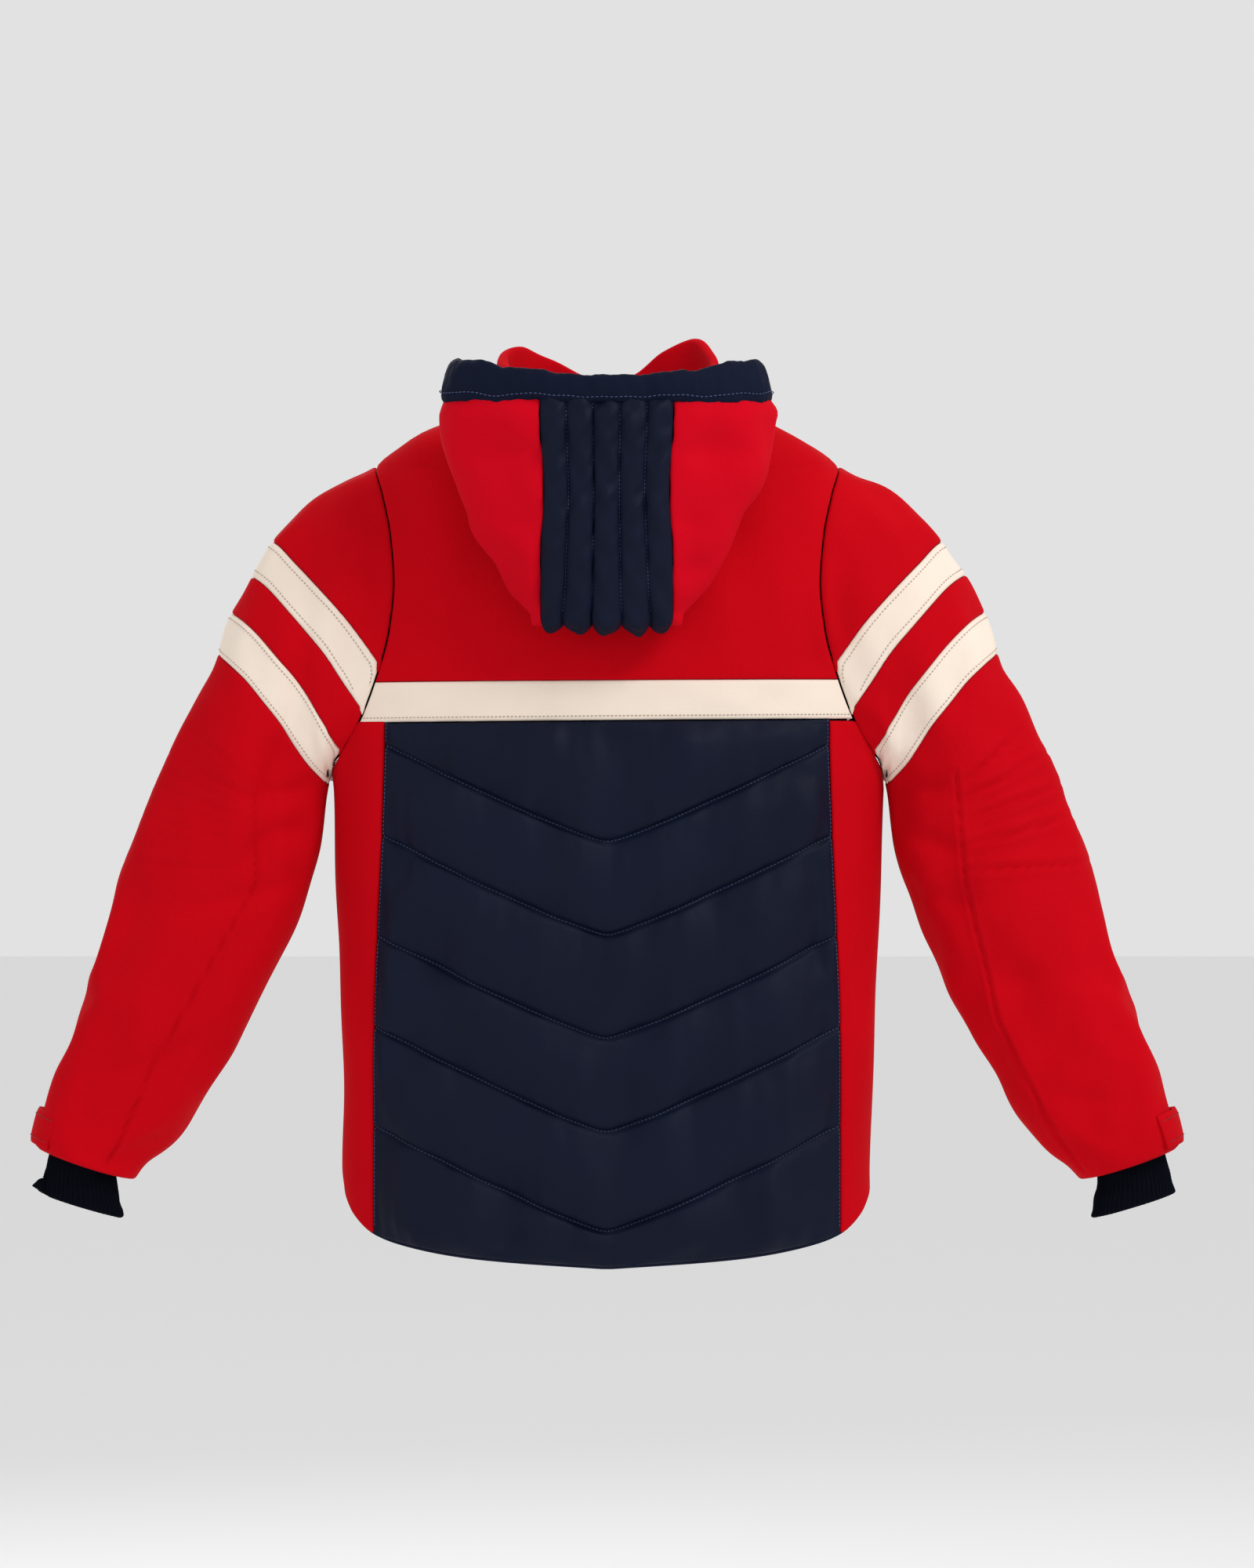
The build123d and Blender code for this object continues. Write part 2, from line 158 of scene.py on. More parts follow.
def torso(theta, z):
    """Points of the body's outside. theta is 0 at the middle of the back."""
    x, y = oval(theta, by_level(BODY, 1, z), by_level(BODY, 2, z))
    return np.stack([x, y + by_level(BODY, 3, z), z + 0 * x], -1)


def theta_at(x, z):
    """The angle, up to a quarter turn, at which the body's outline is x wide."""
    share = np.clip(np.asarray(x) / by_level(BODY, 1, z), 1e-6, 1)
    return np.arctan2(1, np.maximum(share**-SQUARE - 1, 0) ** (1 / SQUARE))


def armhole_x(z):
    return by_level(ARMHOLE, 1, z)


def armhole_theta(z):
    """The angle at which the back ends, at the armhole or at the shoulder's ridge."""
    return theta_at(armhole_x(z), z)


def fold_x(z):
    """Where a front folds open: from the neck's side towards the hem's corner."""
    return FOLD_X - FOLD_LEAN * z


def neck_level(theta):
    """The level at which the body's outline meets the collar, for each angle."""
    levels = np.linspace(0.034, -0.06, 400)
    out = []
    for t in np.atleast_1d(theta):
        p = torso(np.full(400, t), levels)
        wide = np.interp(levels, COLLAR[:, 0], COLLAR[:, 1])
        deep = np.interp(levels, COLLAR[:, 0], COLLAR[:, 2])
        outside = (p[:, 0] / wide) ** 2 + ((p[:, 1] - COLLAR[0, 3]) / deep) ** 2 > 1
        out.append(levels[np.argmax(outside)])
    return np.array(out)


NECK_THETA = np.radians(np.arange(0, 181, 3.0))
NECK_LEVEL = neck_level(NECK_THETA)


def neck_z(theta):
    return np.interp(np.abs(theta), NECK_THETA, NECK_LEVEL)


HEM_THETA = np.radians((0, 30, 50, 60, 72, 82, 92, 105, 130, 180))
HEM_SHARE = np.array((0, 0.13, 0.30, 0.42, 0.66, 0.88, 1.0, 1.05, 1.03, 1.0))


def hem_z(theta):
    """The hem: the back's tail drops lower than the front."""
    share = smooth_table(HEM_THETA, HEM_SHARE, np.abs(theta))
    return HEM_BACK + (HEM_FRONT - HEM_BACK) * share


# ---- grids -----------------------------------------------------------------------------------
def normals(p, around=False):
    """Unit normals of a grid of points. With around, its first axis closes on itself."""
    if around:
        du = np.roll(p, -1, 0) - np.roll(p, 1, 0)
    else:
        du = np.gradient(p, axis=0)
    n = np.cross(du, np.gradient(p, axis=1))
    return n / np.maximum(np.linalg.norm(n, axis=-1, keepdims=True), 1e-12)


def cubic(p, u):
    """The grid p at fractional rows u, by Catmull-Rom."""
    n = len(p)
    u = np.clip(u, 0, n - 1)
    i = np.minimum(u.astype(int), n - 2)
    t = (u - i)[:, None, None]
    first, last = 2 * p[:1] - p[1:2], 2 * p[-1:] - p[-2:-1]
    q = np.concatenate([first, p, last])
    a, b, c, d = q[i], q[i + 1], q[i + 2], q[i + 3]
    return 0.5 * (2 * b + (c - a) * t + (2 * a - 5 * b + 4 * c - d) * t**2 + (3 * b - a - 3 * c + d) * t**3)


def resample(p, u, v):
    """The grid p at fractional rows u and columns v."""
    return cubic(cubic(p, u).swapaxes(0, 1), v).swapaxes(0, 1)


def spacing(length, step, edges=(True, True), near=(0.5, 1.3, 2.4, 3.8)):
    """Shares from 0 to 1 along a length, closer together near the ends that are sewn."""
    a = [0.0] + [n * MM for n in near if edges[0]]
    b = [length - n * MM for n in reversed(near) if edges[1]] + [length]
    count = max(2, int(round((b[0] - a[-1]) / step)))
    return np.concatenate([a, np.linspace(a[-1], b[0], count + 1)[1:-1], b]) / length


def along(p, axis):
    """Distances along an axis of the grid from its start and to its end."""
    step = np.linalg.norm(np.diff(p, axis=axis), axis=-1)
    zero = np.zeros_like(np.take(step, [0], axis=axis))
    a = np.concatenate([zero, np.cumsum(step, axis=axis)], axis=axis)
    return a, np.take(a, [-1], axis=axis) - a


def roll_down(distance, radius=3.2 * MM, depth=2.6 * MM):
    """How far a sewn edge turns under, at a distance from it."""
    s = np.clip(1 - distance / radius, 0, 1)
    return -depth * (1 - np.sqrt(np.maximum(1 - s * s, 0)))


def ripple(p, scale, seed, octaves=2):
    """Smooth noise at points, between about -1 and 1, with a scale per axis in metres."""
    rng = np.random.default_rng(seed)
    out = np.zeros(p.shape[:-1])
    for octave in range(octaves):
        for _ in range(7):
            k = rng.normal(size=3)
            k /= np.linalg.norm(k)
            wave = (p * (k / np.asarray(scale))).sum(-1) * 2 * math.pi * 1.9**octave
            out += np.sin(wave + rng.uniform(0, 2 * math.pi)) * 0.6**octave
    return out / 3.2


# ---- cloth -----------------------------------------------------------------------------------
def soften(move, pins, around, passes=3):
    """Smooths what the solver did, so that buckles no finer than its grid are left out."""
    free = (1 - np.clip(pins, 0, 1))[..., None]
    for _ in range(passes):
        for axis in (0, 1):
            if axis == 0 and around:
                near = np.roll(move, 1, 0) + np.roll(move, -1, 0)
            else:
                first, last = np.take(move, [0], axis), np.take(move, [-1], axis)
                padded = np.concatenate([first, move, last], axis)
                count = move.shape[axis]
                near = np.take(padded, np.arange(count), axis)
                near = near + np.take(padded, np.arange(2, count + 2), axis)
            move = (0.5 * move + 0.25 * near) * free
    return move


def relax(p, pins, frames=18, slack=0.03, pressure=2.0, stiff=15.0, bend=0.5, cap=9 * MM, around=False):
    """The grid p after the cloth solver has let its slack buckle between the pinned points."""
    nu, nv = p.shape[:2]
    mesh = bpy.data.meshes.new("relax")
    mesh.from_pydata(p.reshape(-1, 3).tolist(), [], quads(nu, nv, around))
    ob = bpy.data.objects.new("relax", mesh)
    bpy.context.scene.collection.objects.link(ob)
    group = ob.vertex_groups.new(name="pins")
    flat = pins.reshape(-1)
    for weight in np.unique(flat):
        if weight > 0:
            group.add(np.nonzero(flat == weight)[0].tolist(), float(weight), "REPLACE")
    cloth = ob.modifiers.new("cloth", "CLOTH")
    s = cloth.settings
    s.quality = 4
    s.mass = 0.25
    s.tension_stiffness = s.compression_stiffness = stiff
    s.shear_stiffness = stiff * 0.5
    s.bending_stiffness = bend
    s.tension_damping = s.compression_damping = s.shear_damping = 8
    s.air_damping = 4
    s.vertex_group_mass = "pins"
    s.pin_stiffness = 1
    s.shrink_min = -slack
    s.use_pressure = pressure != 0
    s.uniform_pressure_force = pressure
    s.effector_weights.gravity = 0
    cloth.collision_settings.use_collision = False
    cloth.point_cache.frame_start = 1
    cloth.point_cache.frame_end = frames
    for f in range(1, frames + 1):
        bpy.context.scene.frame_set(f)
    done = ob.evaluated_get(bpy.context.evaluated_depsgraph_get())
    q = np.empty(nu * nv * 3)
    done.data.vertices.foreach_get("co", q)
    bpy.context.scene.frame_set(1)
    bpy.data.objects.remove(ob)
    move = soften(q.reshape(p.shape) - p, pins, around)
    far = np.linalg.norm(move, axis=-1, keepdims=True)
    return p + move * (cap * np.tanh(far / cap) / np.maximum(far, 1e-9))


# ---- meshes ----------------------------------------------------------------------------------
def quads(nu, nv, around=False):
    i, j = np.meshgrid(np.arange(nu if around else nu - 1), np.arange(nv - 1), indexing="ij")
    a, b = i * nv + j, (i + 1) % nu * nv + j
    return np.stack([a, b, b + 1, a + 1], -1).reshape(-1, 4).tolist()


def make(name, verts, faces, material, body, uv=None, smooth=True):
    mesh = bpy.data.meshes.new(name)
    mesh.from_pydata(np.asarray(verts).reshape(-1, 3).tolist(), [], faces)
    mesh.validate()
    if isinstance(smooth, bool) or len(smooth) != len(mesh.polygons):
        smooth = [bool(np.all(smooth))] * len(mesh.polygons)
    mesh.polygons.foreach_set("use_smooth", np.array(smooth, bool).tolist())
    mesh.materials.append(material)
    if uv is not None:
        layer = mesh.uv_layers.new(name="cloth")
        index = np.empty(len(mesh.loops), int)
        mesh.loops.foreach_get("vertex_index", index)
        layer.data.foreach_set("uv", np.asarray(uv)[index].reshape(-1))
    ob = bpy.data.objects.new(name, mesh)
    bpy.context.scene.collection.objects.link(ob)
    settle(ob, body)
    return ob


def settle(ob, body):
    """body is a body's name, or (body, body, start, end) for cloth that crosses a joint."""
    if isinstance(body, str):
        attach(ob, body)
    else:
        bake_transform(ob)


def clean(verts, faces, uv):
    """Drops faces with no area and the points that only they use."""
    v = np.asarray(verts)
    f = np.asarray(faces)
    a, b, c, d = (v[f[:, k]] for k in range(4))
    keep = np.linalg.norm(np.cross(c - a, d - b), axis=-1) > 2e-10
    f = f[keep]
    used, index = np.unique(f, return_inverse=True)
    return v[used], index.reshape(f.shape).tolist(), np.asarray(uv)[used], keep


def slab(name, p, material, body, thick=4 * MM, around=False):
    """A cloth panel: the grid p is its outside, and it gets an inside and edges."""
    nu, nv = p.shape[:2]
    inner = p - normals(p, around) * thick
    outside = quads(nu, nv, around)
    count = nu * nv
    inside = [[q[3] + count, q[2] + count, q[1] + count, q[0] + count] for q in outside]
    rims = []

    def rim(a, b, turn):
        rims.append([a, b, b + count, a + count] if turn else [b, a, a + count, b + count])

    for j, turn in ((0, False), (nv - 1, True)):
        for i in range(nu if around else nu - 1):
            rim(i * nv + j, (i + 1) % nu * nv + j, turn)
    if not around:
        for i, turn in ((0, True), (nu - 1, False)):
            for j in range(nv - 1):
                rim(i * nv + j, i * nv + j + 1, turn)
    u, v = along(p, 0)[0], along(p, 1)[0]
    uv = np.stack([u, v], -1).reshape(-1, 2)
    verts, faces, uv, keep = clean(np.concatenate([p.reshape(-1, 3), inner.reshape(-1, 3)]),
                                   outside + inside + rims, np.concatenate([uv, uv]))
    smooth = np.arange(len(keep))[keep] < len(outside) + len(inside)
    return make(name, verts, faces, material, body, uv, smooth)


def stitches(name, paths, material, body, pitch=3.4 * MM, length=2.3 * MM, wide=0.95 * MM):
    """Rows of stitches: each path is (points, normals)."""
    verts, faces = [], []
    for points, up in paths:
        points, up = np.asarray(points), np.asarray(up)
        run = np.concatenate([[0], np.cumsum(np.linalg.norm(np.diff(points, axis=0), axis=1))])
        if run[-1] < 2 * pitch:
            continue
        at = np.arange(pitch * 0.5, run[-1] - pitch * 0.5, pitch)
        c = np.stack([np.interp(at, run, points[:, k]) for k in range(3)], -1)
        n = np.stack([np.interp(at, run, up[:, k]) for k in range(3)], -1)
        n /= np.linalg.norm(n, axis=1, keepdims=True)
        t = np.stack([np.interp(at + MM, run, points[:, k]) for k in range(3)], -1) - c
        t /= np.maximum(np.linalg.norm(t, axis=1, keepdims=True), 1e-9)
        s = np.cross(n, t)
        for ci, ni, ti, si in zip(c, n, t, s):
            base = len(verts)
            for reach, w, h in ((-0.5, 0.55, -0.25), (-0.28, 1, 0.28), (0.28, 1, 0.28), (0.5, 0.55, -0.25)):
                mid = ci + ti * length * reach
                verts.append(mid + si * wide * w * 0.5 + ni * wide * (h - 0.3))
                verts.append(mid + ni * wide * (h + 0.25))
                verts.append(mid - si * wide * w * 0.5 + ni * wide * (h - 0.3))
            for k in (0, 3, 6):
                faces.append([base + k, base + k + 1, base + k + 4, base + k + 3])
                faces.append([base + k + 1, base + k + 2, base + k + 5, base + k + 4])
                faces.append([base + k + 2, base + k, base + k + 3, base + k + 5])
            faces.append([base + 2, base + 1, base])
            faces.append([base + 9, base + 10, base + 11])
    return make(name, verts, faces, material, body)


def sewn(p, edges, radius=3.2 * MM, depth=2.6 * MM):
    """Height of a panel's outside near its sewn edges: (row start, row end, column start, end)."""
    u0, u1 = along(p, 0)
    v0, v1 = along(p, 1)
    h = np.zeros(p.shape[:2])
    for on, d in zip(edges, (u0, u1, v0, v1)):
        if on:
            h = np.minimum(h, roll_down(d, radius, depth))
    return h


# ---- materials -------------------------------------------------------------------------------
class Nodes:
    """A material's node tree, with short calls to add and join nodes."""

    def __init__(self, name):
        self.material = bpy.data.materials.new(name)
        self.material.use_nodes = True
        self.tree = self.material.node_tree
        self.shader = self.tree.nodes["Principled BSDF"]

    def add(self, kind, **inputs):
        node = self.tree.nodes.new("ShaderNode" + kind)
        for key, value in inputs.items():
            key = int(key[1:]) if key[0] == "_" else key.replace("_", " ")
            if isinstance(value, bpy.types.NodeSocket):
                self.tree.links.new(value, node.inputs[key])
            else:
                node.inputs[key].default_value = value
        return node

    def math(self, operation, a, b=0.0):
        node = self.add("Math", _0=a, _1=b)
        node.operation = operation
        return node.outputs[0]

    def mix(self, share, a, b):
        node = self.tree.nodes.new("ShaderNodeMix")
        node.data_type = "RGBA"
        for i, value in ((0, share), (6, a), (7, b)):
            if isinstance(value, bpy.types.NodeSocket):
                self.tree.links.new(value, node.inputs[i])
            else:
                node.inputs[i].default_value = value
        return node.outputs[2]

    def noise(self, vector, scale, detail=2.0, rough=0.5):
        return self.add("TexNoise", Vector=vector, Scale=scale, Detail=detail, Roughness=rough).outputs["Fac"]

    def spread(self, value, low_in, high_in, low_out=0.0, high_out=1.0):
        node = self.add("MapRange", Value=value, From_Min=low_in, From_Max=high_in, To_Min=low_out,
                        To_Max=high_out)
        return node.outputs[0]

    def join(self, value, socket):
        self.tree.links.new(value, self.shader.inputs[socket])


def rgb(r, g, b):
    """Linear colour of display values from 0 to 255."""
    linear = (((c / 255 + 0.055) / 1.055) ** 2.4 if c > 10 else c / 255 / 12.92 for c in (r, g, b))
    return tuple(linear) + (1.0,)


def woven(name, color, shade, rough=0.8, pitch=0.9 * MM, twill=True, depth=0.16, sheen=0.25,
          crease=0.25, fleck=0.5, gloss=0.22):
    """Woven cloth: threads laid along the panel, slightly uneven in colour, softly creased."""
    n = Nodes(name)
    place = n.add("TexCoord").outputs["Object"]
    u = n.add("SeparateXYZ", Vector=n.add("UVMap").outputs[0])
    k = 2 * math.pi / pitch
    weft = n.math("SINE", n.math("MULTIPLY", u.outputs[1], k * (0.5 if twill else 1.0)))
    if twill:
        rib = n.math("SINE", n.math("MULTIPLY", n.math("ADD", u.outputs[0], u.outputs[1]), k))
        thread = n.math("ADD", n.math("MULTIPLY", rib, 0.8), n.math("MULTIPLY", weft, 0.3))
    else:
        warp = n.math("SINE", n.math("MULTIPLY", u.outputs[0], k))
        thread = n.math("MULTIPLY", warp, weft)
    fine = n.noise(place, 900.0, 3.0, 0.65)
    broad = n.noise(place, 9.0, 3.0, 0.55)
    folds = n.noise(place, 55.0, 4.0, 0.6)
    mottle = n.math("ADD", n.math("MULTIPLY", fine, fleck), broad)
    blend = n.spread(mottle, 0.25 + 0.2 * fleck, 0.75 + 0.8 * fleck)
    n.join(n.mix(blend, color, shade), "Base Color")
    n.join(n.spread(fine, 0.3, 0.7, rough - 0.06, rough + 0.06), "Roughness")
    height = n.math("ADD", n.math("MULTIPLY", thread, depth), n.math("MULTIPLY", fine, 0.35))
    small = n.add("Bump", Strength=0.35, Distance=0.25 * MM, Height=height)
    soft = n.add("Bump", Strength=crease, Distance=2.2 * MM, Height=folds, Normal=small.outputs[0])
    n.join(soft.outputs[0], "Normal")
    n.shader.inputs["Sheen Weight"].default_value = sheen
    n.shader.inputs["Sheen Roughness"].default_value = 0.45
    n.shader.inputs["Specular IOR Level"].default_value = gloss
    return n.material


def ribbed(name, color, shade, pitch=2.6 * MM):
    """Stretch knit with ribs along the piece's second direction; each rib's trough is painted darker as
    shade.
    """
    n = Nodes(name)
    place = n.add("TexCoord").outputs["Object"]
    u = n.add("SeparateXYZ", Vector=n.add("UVMap").outputs[0])
    loops = n.math("SINE", n.math("MULTIPLY", u.outputs[1], 2 * math.pi / (1.3 * MM)))
    rib = n.math("SINE", n.math("MULTIPLY", u.outputs[0], 2 * math.pi / pitch))
    fine = n.noise(place, 1100.0, 3.0, 0.6)
    # painted shade: the base colour darkens in each rib's trough, with fine random tone mixed in
    n.join(n.mix(n.spread(n.math("ADD", rib, fine), -0.6, 1.6), shade, color), "Base Color")
    height = n.math("ADD", n.math("MULTIPLY", loops, 0.25), n.math("MULTIPLY", fine, 0.6))
    n.join(n.add("Bump", Strength=0.6, Distance=0.4 * MM, Height=height).outputs[0], "Normal")
    n.shader.inputs["Roughness"].default_value = 0.95
    n.shader.inputs["Specular IOR Level"].default_value = 0.08
    return n.material


def hard(name, color, shade, rough=0.35, metallic=0.0):
    """Moulded plastic or cast metal, with fine handling marks."""
    n = Nodes(name)
    place = n.add("TexCoord").outputs["Object"]
    marks = n.noise(place, 420.0, 4.0, 0.6)
    n.join(n.mix(n.spread(marks, 0.35, 0.7), color, shade), "Base Color")
    n.join(n.spread(marks, 0.3, 0.7, rough - 0.08, rough + 0.12), "Roughness")
    n.join(n.add("Bump", Strength=0.25, Distance=0.1 * MM, Height=marks).outputs[0], "Normal")
    n.shader.inputs["Metallic"].default_value = metallic
    return n.material


RED = woven("red_softshell", rgb(198, 0, 17), rgb(182, 0, 15), rough=0.88, sheen=0.0, gloss=0.07)
HOOD_RED = woven("hood_red", rgb(208, 0, 27), rgb(192, 0, 22), rough=0.86, sheen=0.0, gloss=0.08)
CREAM = woven("cream_softshell", rgb(244, 229, 214), rgb(232, 216, 200), rough=0.85, sheen=0.05)
NAVY = woven("navy_nylon", rgb(8, 17, 42), rgb(5, 11, 30), rough=0.6, twill=False, pitch=0.6 * MM,
             sheen=0.0, crease=0.3, gloss=0.13)
BINDING = woven("navy_binding", rgb(10, 19, 44), rgb(7, 13, 32), rough=0.75, twill=False, sheen=0.0,
                crease=0.3, gloss=0.1)
LINING = woven("lining_taffeta", rgb(20, 26, 46), rgb(14, 19, 36), rough=0.42, twill=False,
               pitch=0.5 * MM, depth=0.08, crease=0.5)
KNIT = ribbed("gaiter_knit", rgb(7, 10, 22), rgb(3, 4, 10))
THREAD_NAVY = hard("thread_navy", rgb(62, 76, 118), rgb(44, 58, 96), rough=0.6)
THREAD_RED = hard("thread_red", rgb(150, 6, 22), rgb(120, 2, 14), rough=0.6)
THREAD_CREAM = hard("thread_cream", rgb(196, 180, 164), rgb(170, 152, 136), rough=0.6)
TAPE = woven("zip_tape", rgb(12, 17, 32), rgb(8, 12, 24), rough=0.8, pitch=0.7 * MM, crease=0.1)
TEETH = hard("zip_teeth", rgb(20, 24, 36), rgb(12, 15, 24), rough=0.35)
METAL = hard("zip_metal", rgb(90, 92, 98), rgb(62, 64, 70), rough=0.3, metallic=1.0)


# ---- body panels -----------------------------------------------------------------------------
def patch(left, right, top, bottom, s, t):
    """A grid over the body, between two angles that vary with level and two levels that vary with angle."""
    s, t = np.meshgrid(s, t, indexing="ij")
    z = STRIPE_TOP * t
    for _ in range(12):
        theta = left(z) + (right(z) - left(z)) * s
        z = top(theta) + (bottom(theta) - top(theta)) * t
    return torso(theta, z)


def front_blend(side):
    """The body and a front, and the strip about the front's fold that cloth between them crosses."""
    sign = 1 if side == "left" else -1
    inward = np.array((-sign, 0, -FOLD_LEAN)) / math.hypot(1, FOLD_LEAN)
    line = (inward + np.array((0, -1, 0))) / math.sqrt(2)
    return ("jacket_body", f"front_{side}", line * FOLD_STRIP[0], line * FOLD_STRIP[1])


def sleeve_blend(side):
    """The body and an upper sleeve, and the strip about the shoulder, starting outside the armhole's seam,
    that sleeve cloth crosses.
    """
    sign = 1 if side == "left" else -1
    line = np.array((sign * math.cos(SHOULDER_TILT), 0, math.sin(SHOULDER_TILT)))
    return ("jacket_body", f"sleeve_upper_{side}", line * SHOULDER_STRIP[0], line * SHOULDER_STRIP[1])


def elbow_blend(side):
    """An upper and a lower sleeve, and the strip across the sleeve at its elbow."""
    sign = 1 if side == "left" else -1
    line = np.array((sign * math.sin(SLEEVE_LEAN), 0, -math.cos(SLEEVE_LEAN)))
    at = np.array((sign * ELBOW[0], 0, ELBOW[1]))
    start, end = at + line * ELBOW_STRIP[0], at + line * ELBOW_STRIP[1]
    return (f"sleeve_upper_{side}", f"sleeve_lower_{side}", start, end)


def flipped(p):
    """The same grid on the wearer's other side, its first axis reversed so that it faces out."""
    return (p * np.array((-1, 1, 1)))[::-1]


def on_side(p, side):
    """A grid laid out on the wearer's left, or its mirror image on the right."""
    return flipped(p) if side == "right" else p


def constant(value):
    return lambda other: value + 0 * other


def stripe_top(theta):
    """The stripe sags a little towards the wearer's left."""
    return STRIPE_TOP - STRIPE_SAG * np.sin(theta)


def stripe_bottom(theta):
    return STRIPE_BOTTOM - STRIPE_FOOT_SAG * np.sin(theta)


def back_panel_x(z):
    return PANEL_X - PANEL_TAPER + PANEL_TAPER * ease((STRIPE_BOTTOM - z) / 0.3)


def panel_theta(z):
    """The angle at which the back's quilted panel ends."""
    return theta_at(back_panel_x(z), z)


def fold_theta(z):
    return math.pi - theta_at(fold_x(z), z)


def edge_theta(z, inside=0.0):
    """The angle of a front's free edge, or of a line that far inside it."""
    return math.pi - theta_at(np.full_like(z, FRONT_EDGE + inside), z)


def side_top(theta):
    """A side panel starts at the stripe's foot, and drops towards the underarm."""
    x = torso(theta, -0.26 + 0 * theta)[..., 0]
    under = np.interp(x, UNDERARM_X, (STRIPE_BOTTOM, UNDERARM_LEVEL))
    return np.where(x > UNDERARM_X[0], under, STRIPE_BOTTOM)


CHEVRON_TIPS = STRIPE_BOTTOM + (HEM_BACK - STRIPE_BOTTOM) * np.array((0.222, 0.392, 0.581, 0.751, 0.933))
CHEVRON_RISE = 0.087
CHEVRON_HALF = 0.195


def chevron(x, tip):
    """The level of a quilting line that points down at the middle."""
    return tip + CHEVRON_RISE * (np.sqrt((np.abs(x) / CHEVRON_HALF) ** 2 + 0.0004) - 0.02) ** 1.12


def quilted(left, right, rows_each, step, tips):
    """A quilted body panel's grid, its rows running along the quilting lines.

    Returns the grid and the rows that are stitched.
    """
    z = np.array([STRIPE_BOTTOM, HEM_BACK])
    width = abs(float(np.mean(right(z) - left(z)))) * MEAN_RADIUS
    s = spacing(max(width, 0.05), step)
    share, stitched = [np.zeros(1)], [0]
    for count in rows_each:
        share.append(np.arange(1, count + 1) / count + len(stitched) - 1)
        stitched.append(stitched[-1] + count)
    t = np.concatenate(share)
    s, t = np.meshgrid(s, t, indexing="ij")
    z = STRIPE_BOTTOM + (HEM_BACK - STRIPE_BOTTOM) * t / len(rows_each)
    for _ in range(12):
        theta = left(z) + (right(z) - left(z)) * s
        x = torso(theta, z)[..., 0]
        levels = [stripe_bottom(theta)] + [chevron(x, tip) for tip in tips] + [hem_z(theta)]
        levels = np.stack(levels, -1)
        for k in range(1, levels.shape[-1]):
            levels[..., k] = np.minimum(levels[..., k], levels[..., k - 1] - 0.004)
        k = np.minimum(t.astype(int), levels.shape[-1] - 2)
        a = np.take_along_axis(levels, k[..., None], -1)[..., 0]
        b = np.take_along_axis(levels, k[..., None] + 1, -1)[..., 0]
        z = a + (b - a) * (t - k)
    return torso(theta, z), stitched


def soft_folds(p, n, size, scale, seed):
    """Broad soft folds, which fade at a panel's edges."""
    u0, u1 = along(p, 0)
    v0, v1 = along(p, 1)
    fade = ease(np.minimum(np.minimum(u0, u1), np.minimum(v0, v1)) / 0.02)
    return n * (ripple(p, scale, seed) * size * fade)[..., None]


def quilt_piece(name, body, left, right, rows_each, tips, seed, replaced, mirror_grid=False):
    """A wadded panel: relaxed between its stitched rows, with a groove and stitches along each."""
    p, stitched = quilted(left, right, rows_each, 5.2 * MM, tips)
    pins = np.zeros(p.shape[:2])
    pins[[0, -1], :] = 1
    for row in stitched:
        pins[:, row] = 1
    q = relax(p, pins, frames=16, slack=0.045, pressure=3.2, stiff=8, bend=0.15, cap=7 * MM)
    e0, e1 = along(p, 0)
    q = p + (q - p) * ease(np.minimum(e0, e1) / 0.022)[..., None]
    n = normals(p)
    if np.mean(n * p) < 0:
        n = -n
    k = np.arange(p.shape[1])
    near = np.array([max(r for r in stitched if r <= i) for i in k])
    far = np.array([min(r for r in stitched if r >= i) for i in k])
    share = np.where(far > near, (k - near) / np.maximum(far - near, 1), 0)
    puff = np.sin(math.pi * share) ** 0.75
    u0, u1 = along(p, 0)
    puff = puff[None, :] * ease(np.minimum(u0, u1) / 0.012)
    height = 2.6 * MM * puff
    pucker = ripple(p * np.array((1, 1, 0.3)), (0.022, 0.022, 0.05), seed) * (1 - puff * 0.6) * 1.3 * MM
    edge = ease(np.minimum(u0, u1) / 0.008)
    q = q + n * (height + pucker * edge * np.minimum(1, share * 6 + 0.1)[None, :])[..., None]
    q = q + soft_folds(p, n, 4.0 * MM, (0.085, 0.085, 0.30), seed + 5)
    nu, nv = p.shape[:2]
    beside = [r + np.array((-0.22, 0.22)) for r in stitched]
    v = np.unique(np.concatenate([np.arange(0, nv - 1 + 1e-9, 0.5)] + beside))
    v = v[(v >= 0) & (v <= nv - 1)]
    u = np.arange(0, nu - 1 + 1e-9, 0.5)
    fine = resample(q, u, v)
    down = along(resample(p, u, v), 1)[0]
    fn = normals(fine)
    to_stitch = np.min([np.abs(down - down[:, [np.argmin(abs(v - r))]]) for r in stitched[1:-1]], 0)
    groove = -2.4 * MM * np.exp(-((to_stitch / (1.9 * MM)) ** 2))
    fine = fine + fn * (groove + sewn(fine, (1, 1, 1, 1)))[..., None]
    if mirror_grid:
        fine = flipped(fine)
    ob = slab(name, fine, NAVY, body, thick=5 * MM)
    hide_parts(*replaced)
    rows = [int(np.argmin(abs(v - r))) for r in stitched[1:-1]]
    up = normals(fine)
    across = along(fine, 0)[0][:, len(v) // 2]
    sides = [int(np.argmin(abs(across - d))) for d in (4 * MM, across[-1] - 4 * MM)]
    lines = [(fine[:, r] + up[:, r] * 0.25 * MM, up[:, r]) for r in rows]
    lines += [(fine[r, 2:-2] + up[r, 2:-2] * 0.2 * MM, up[r, 2:-2]) for r in sides]
    stitches(name + "_stitches", lines, THREAD_NAVY, body)


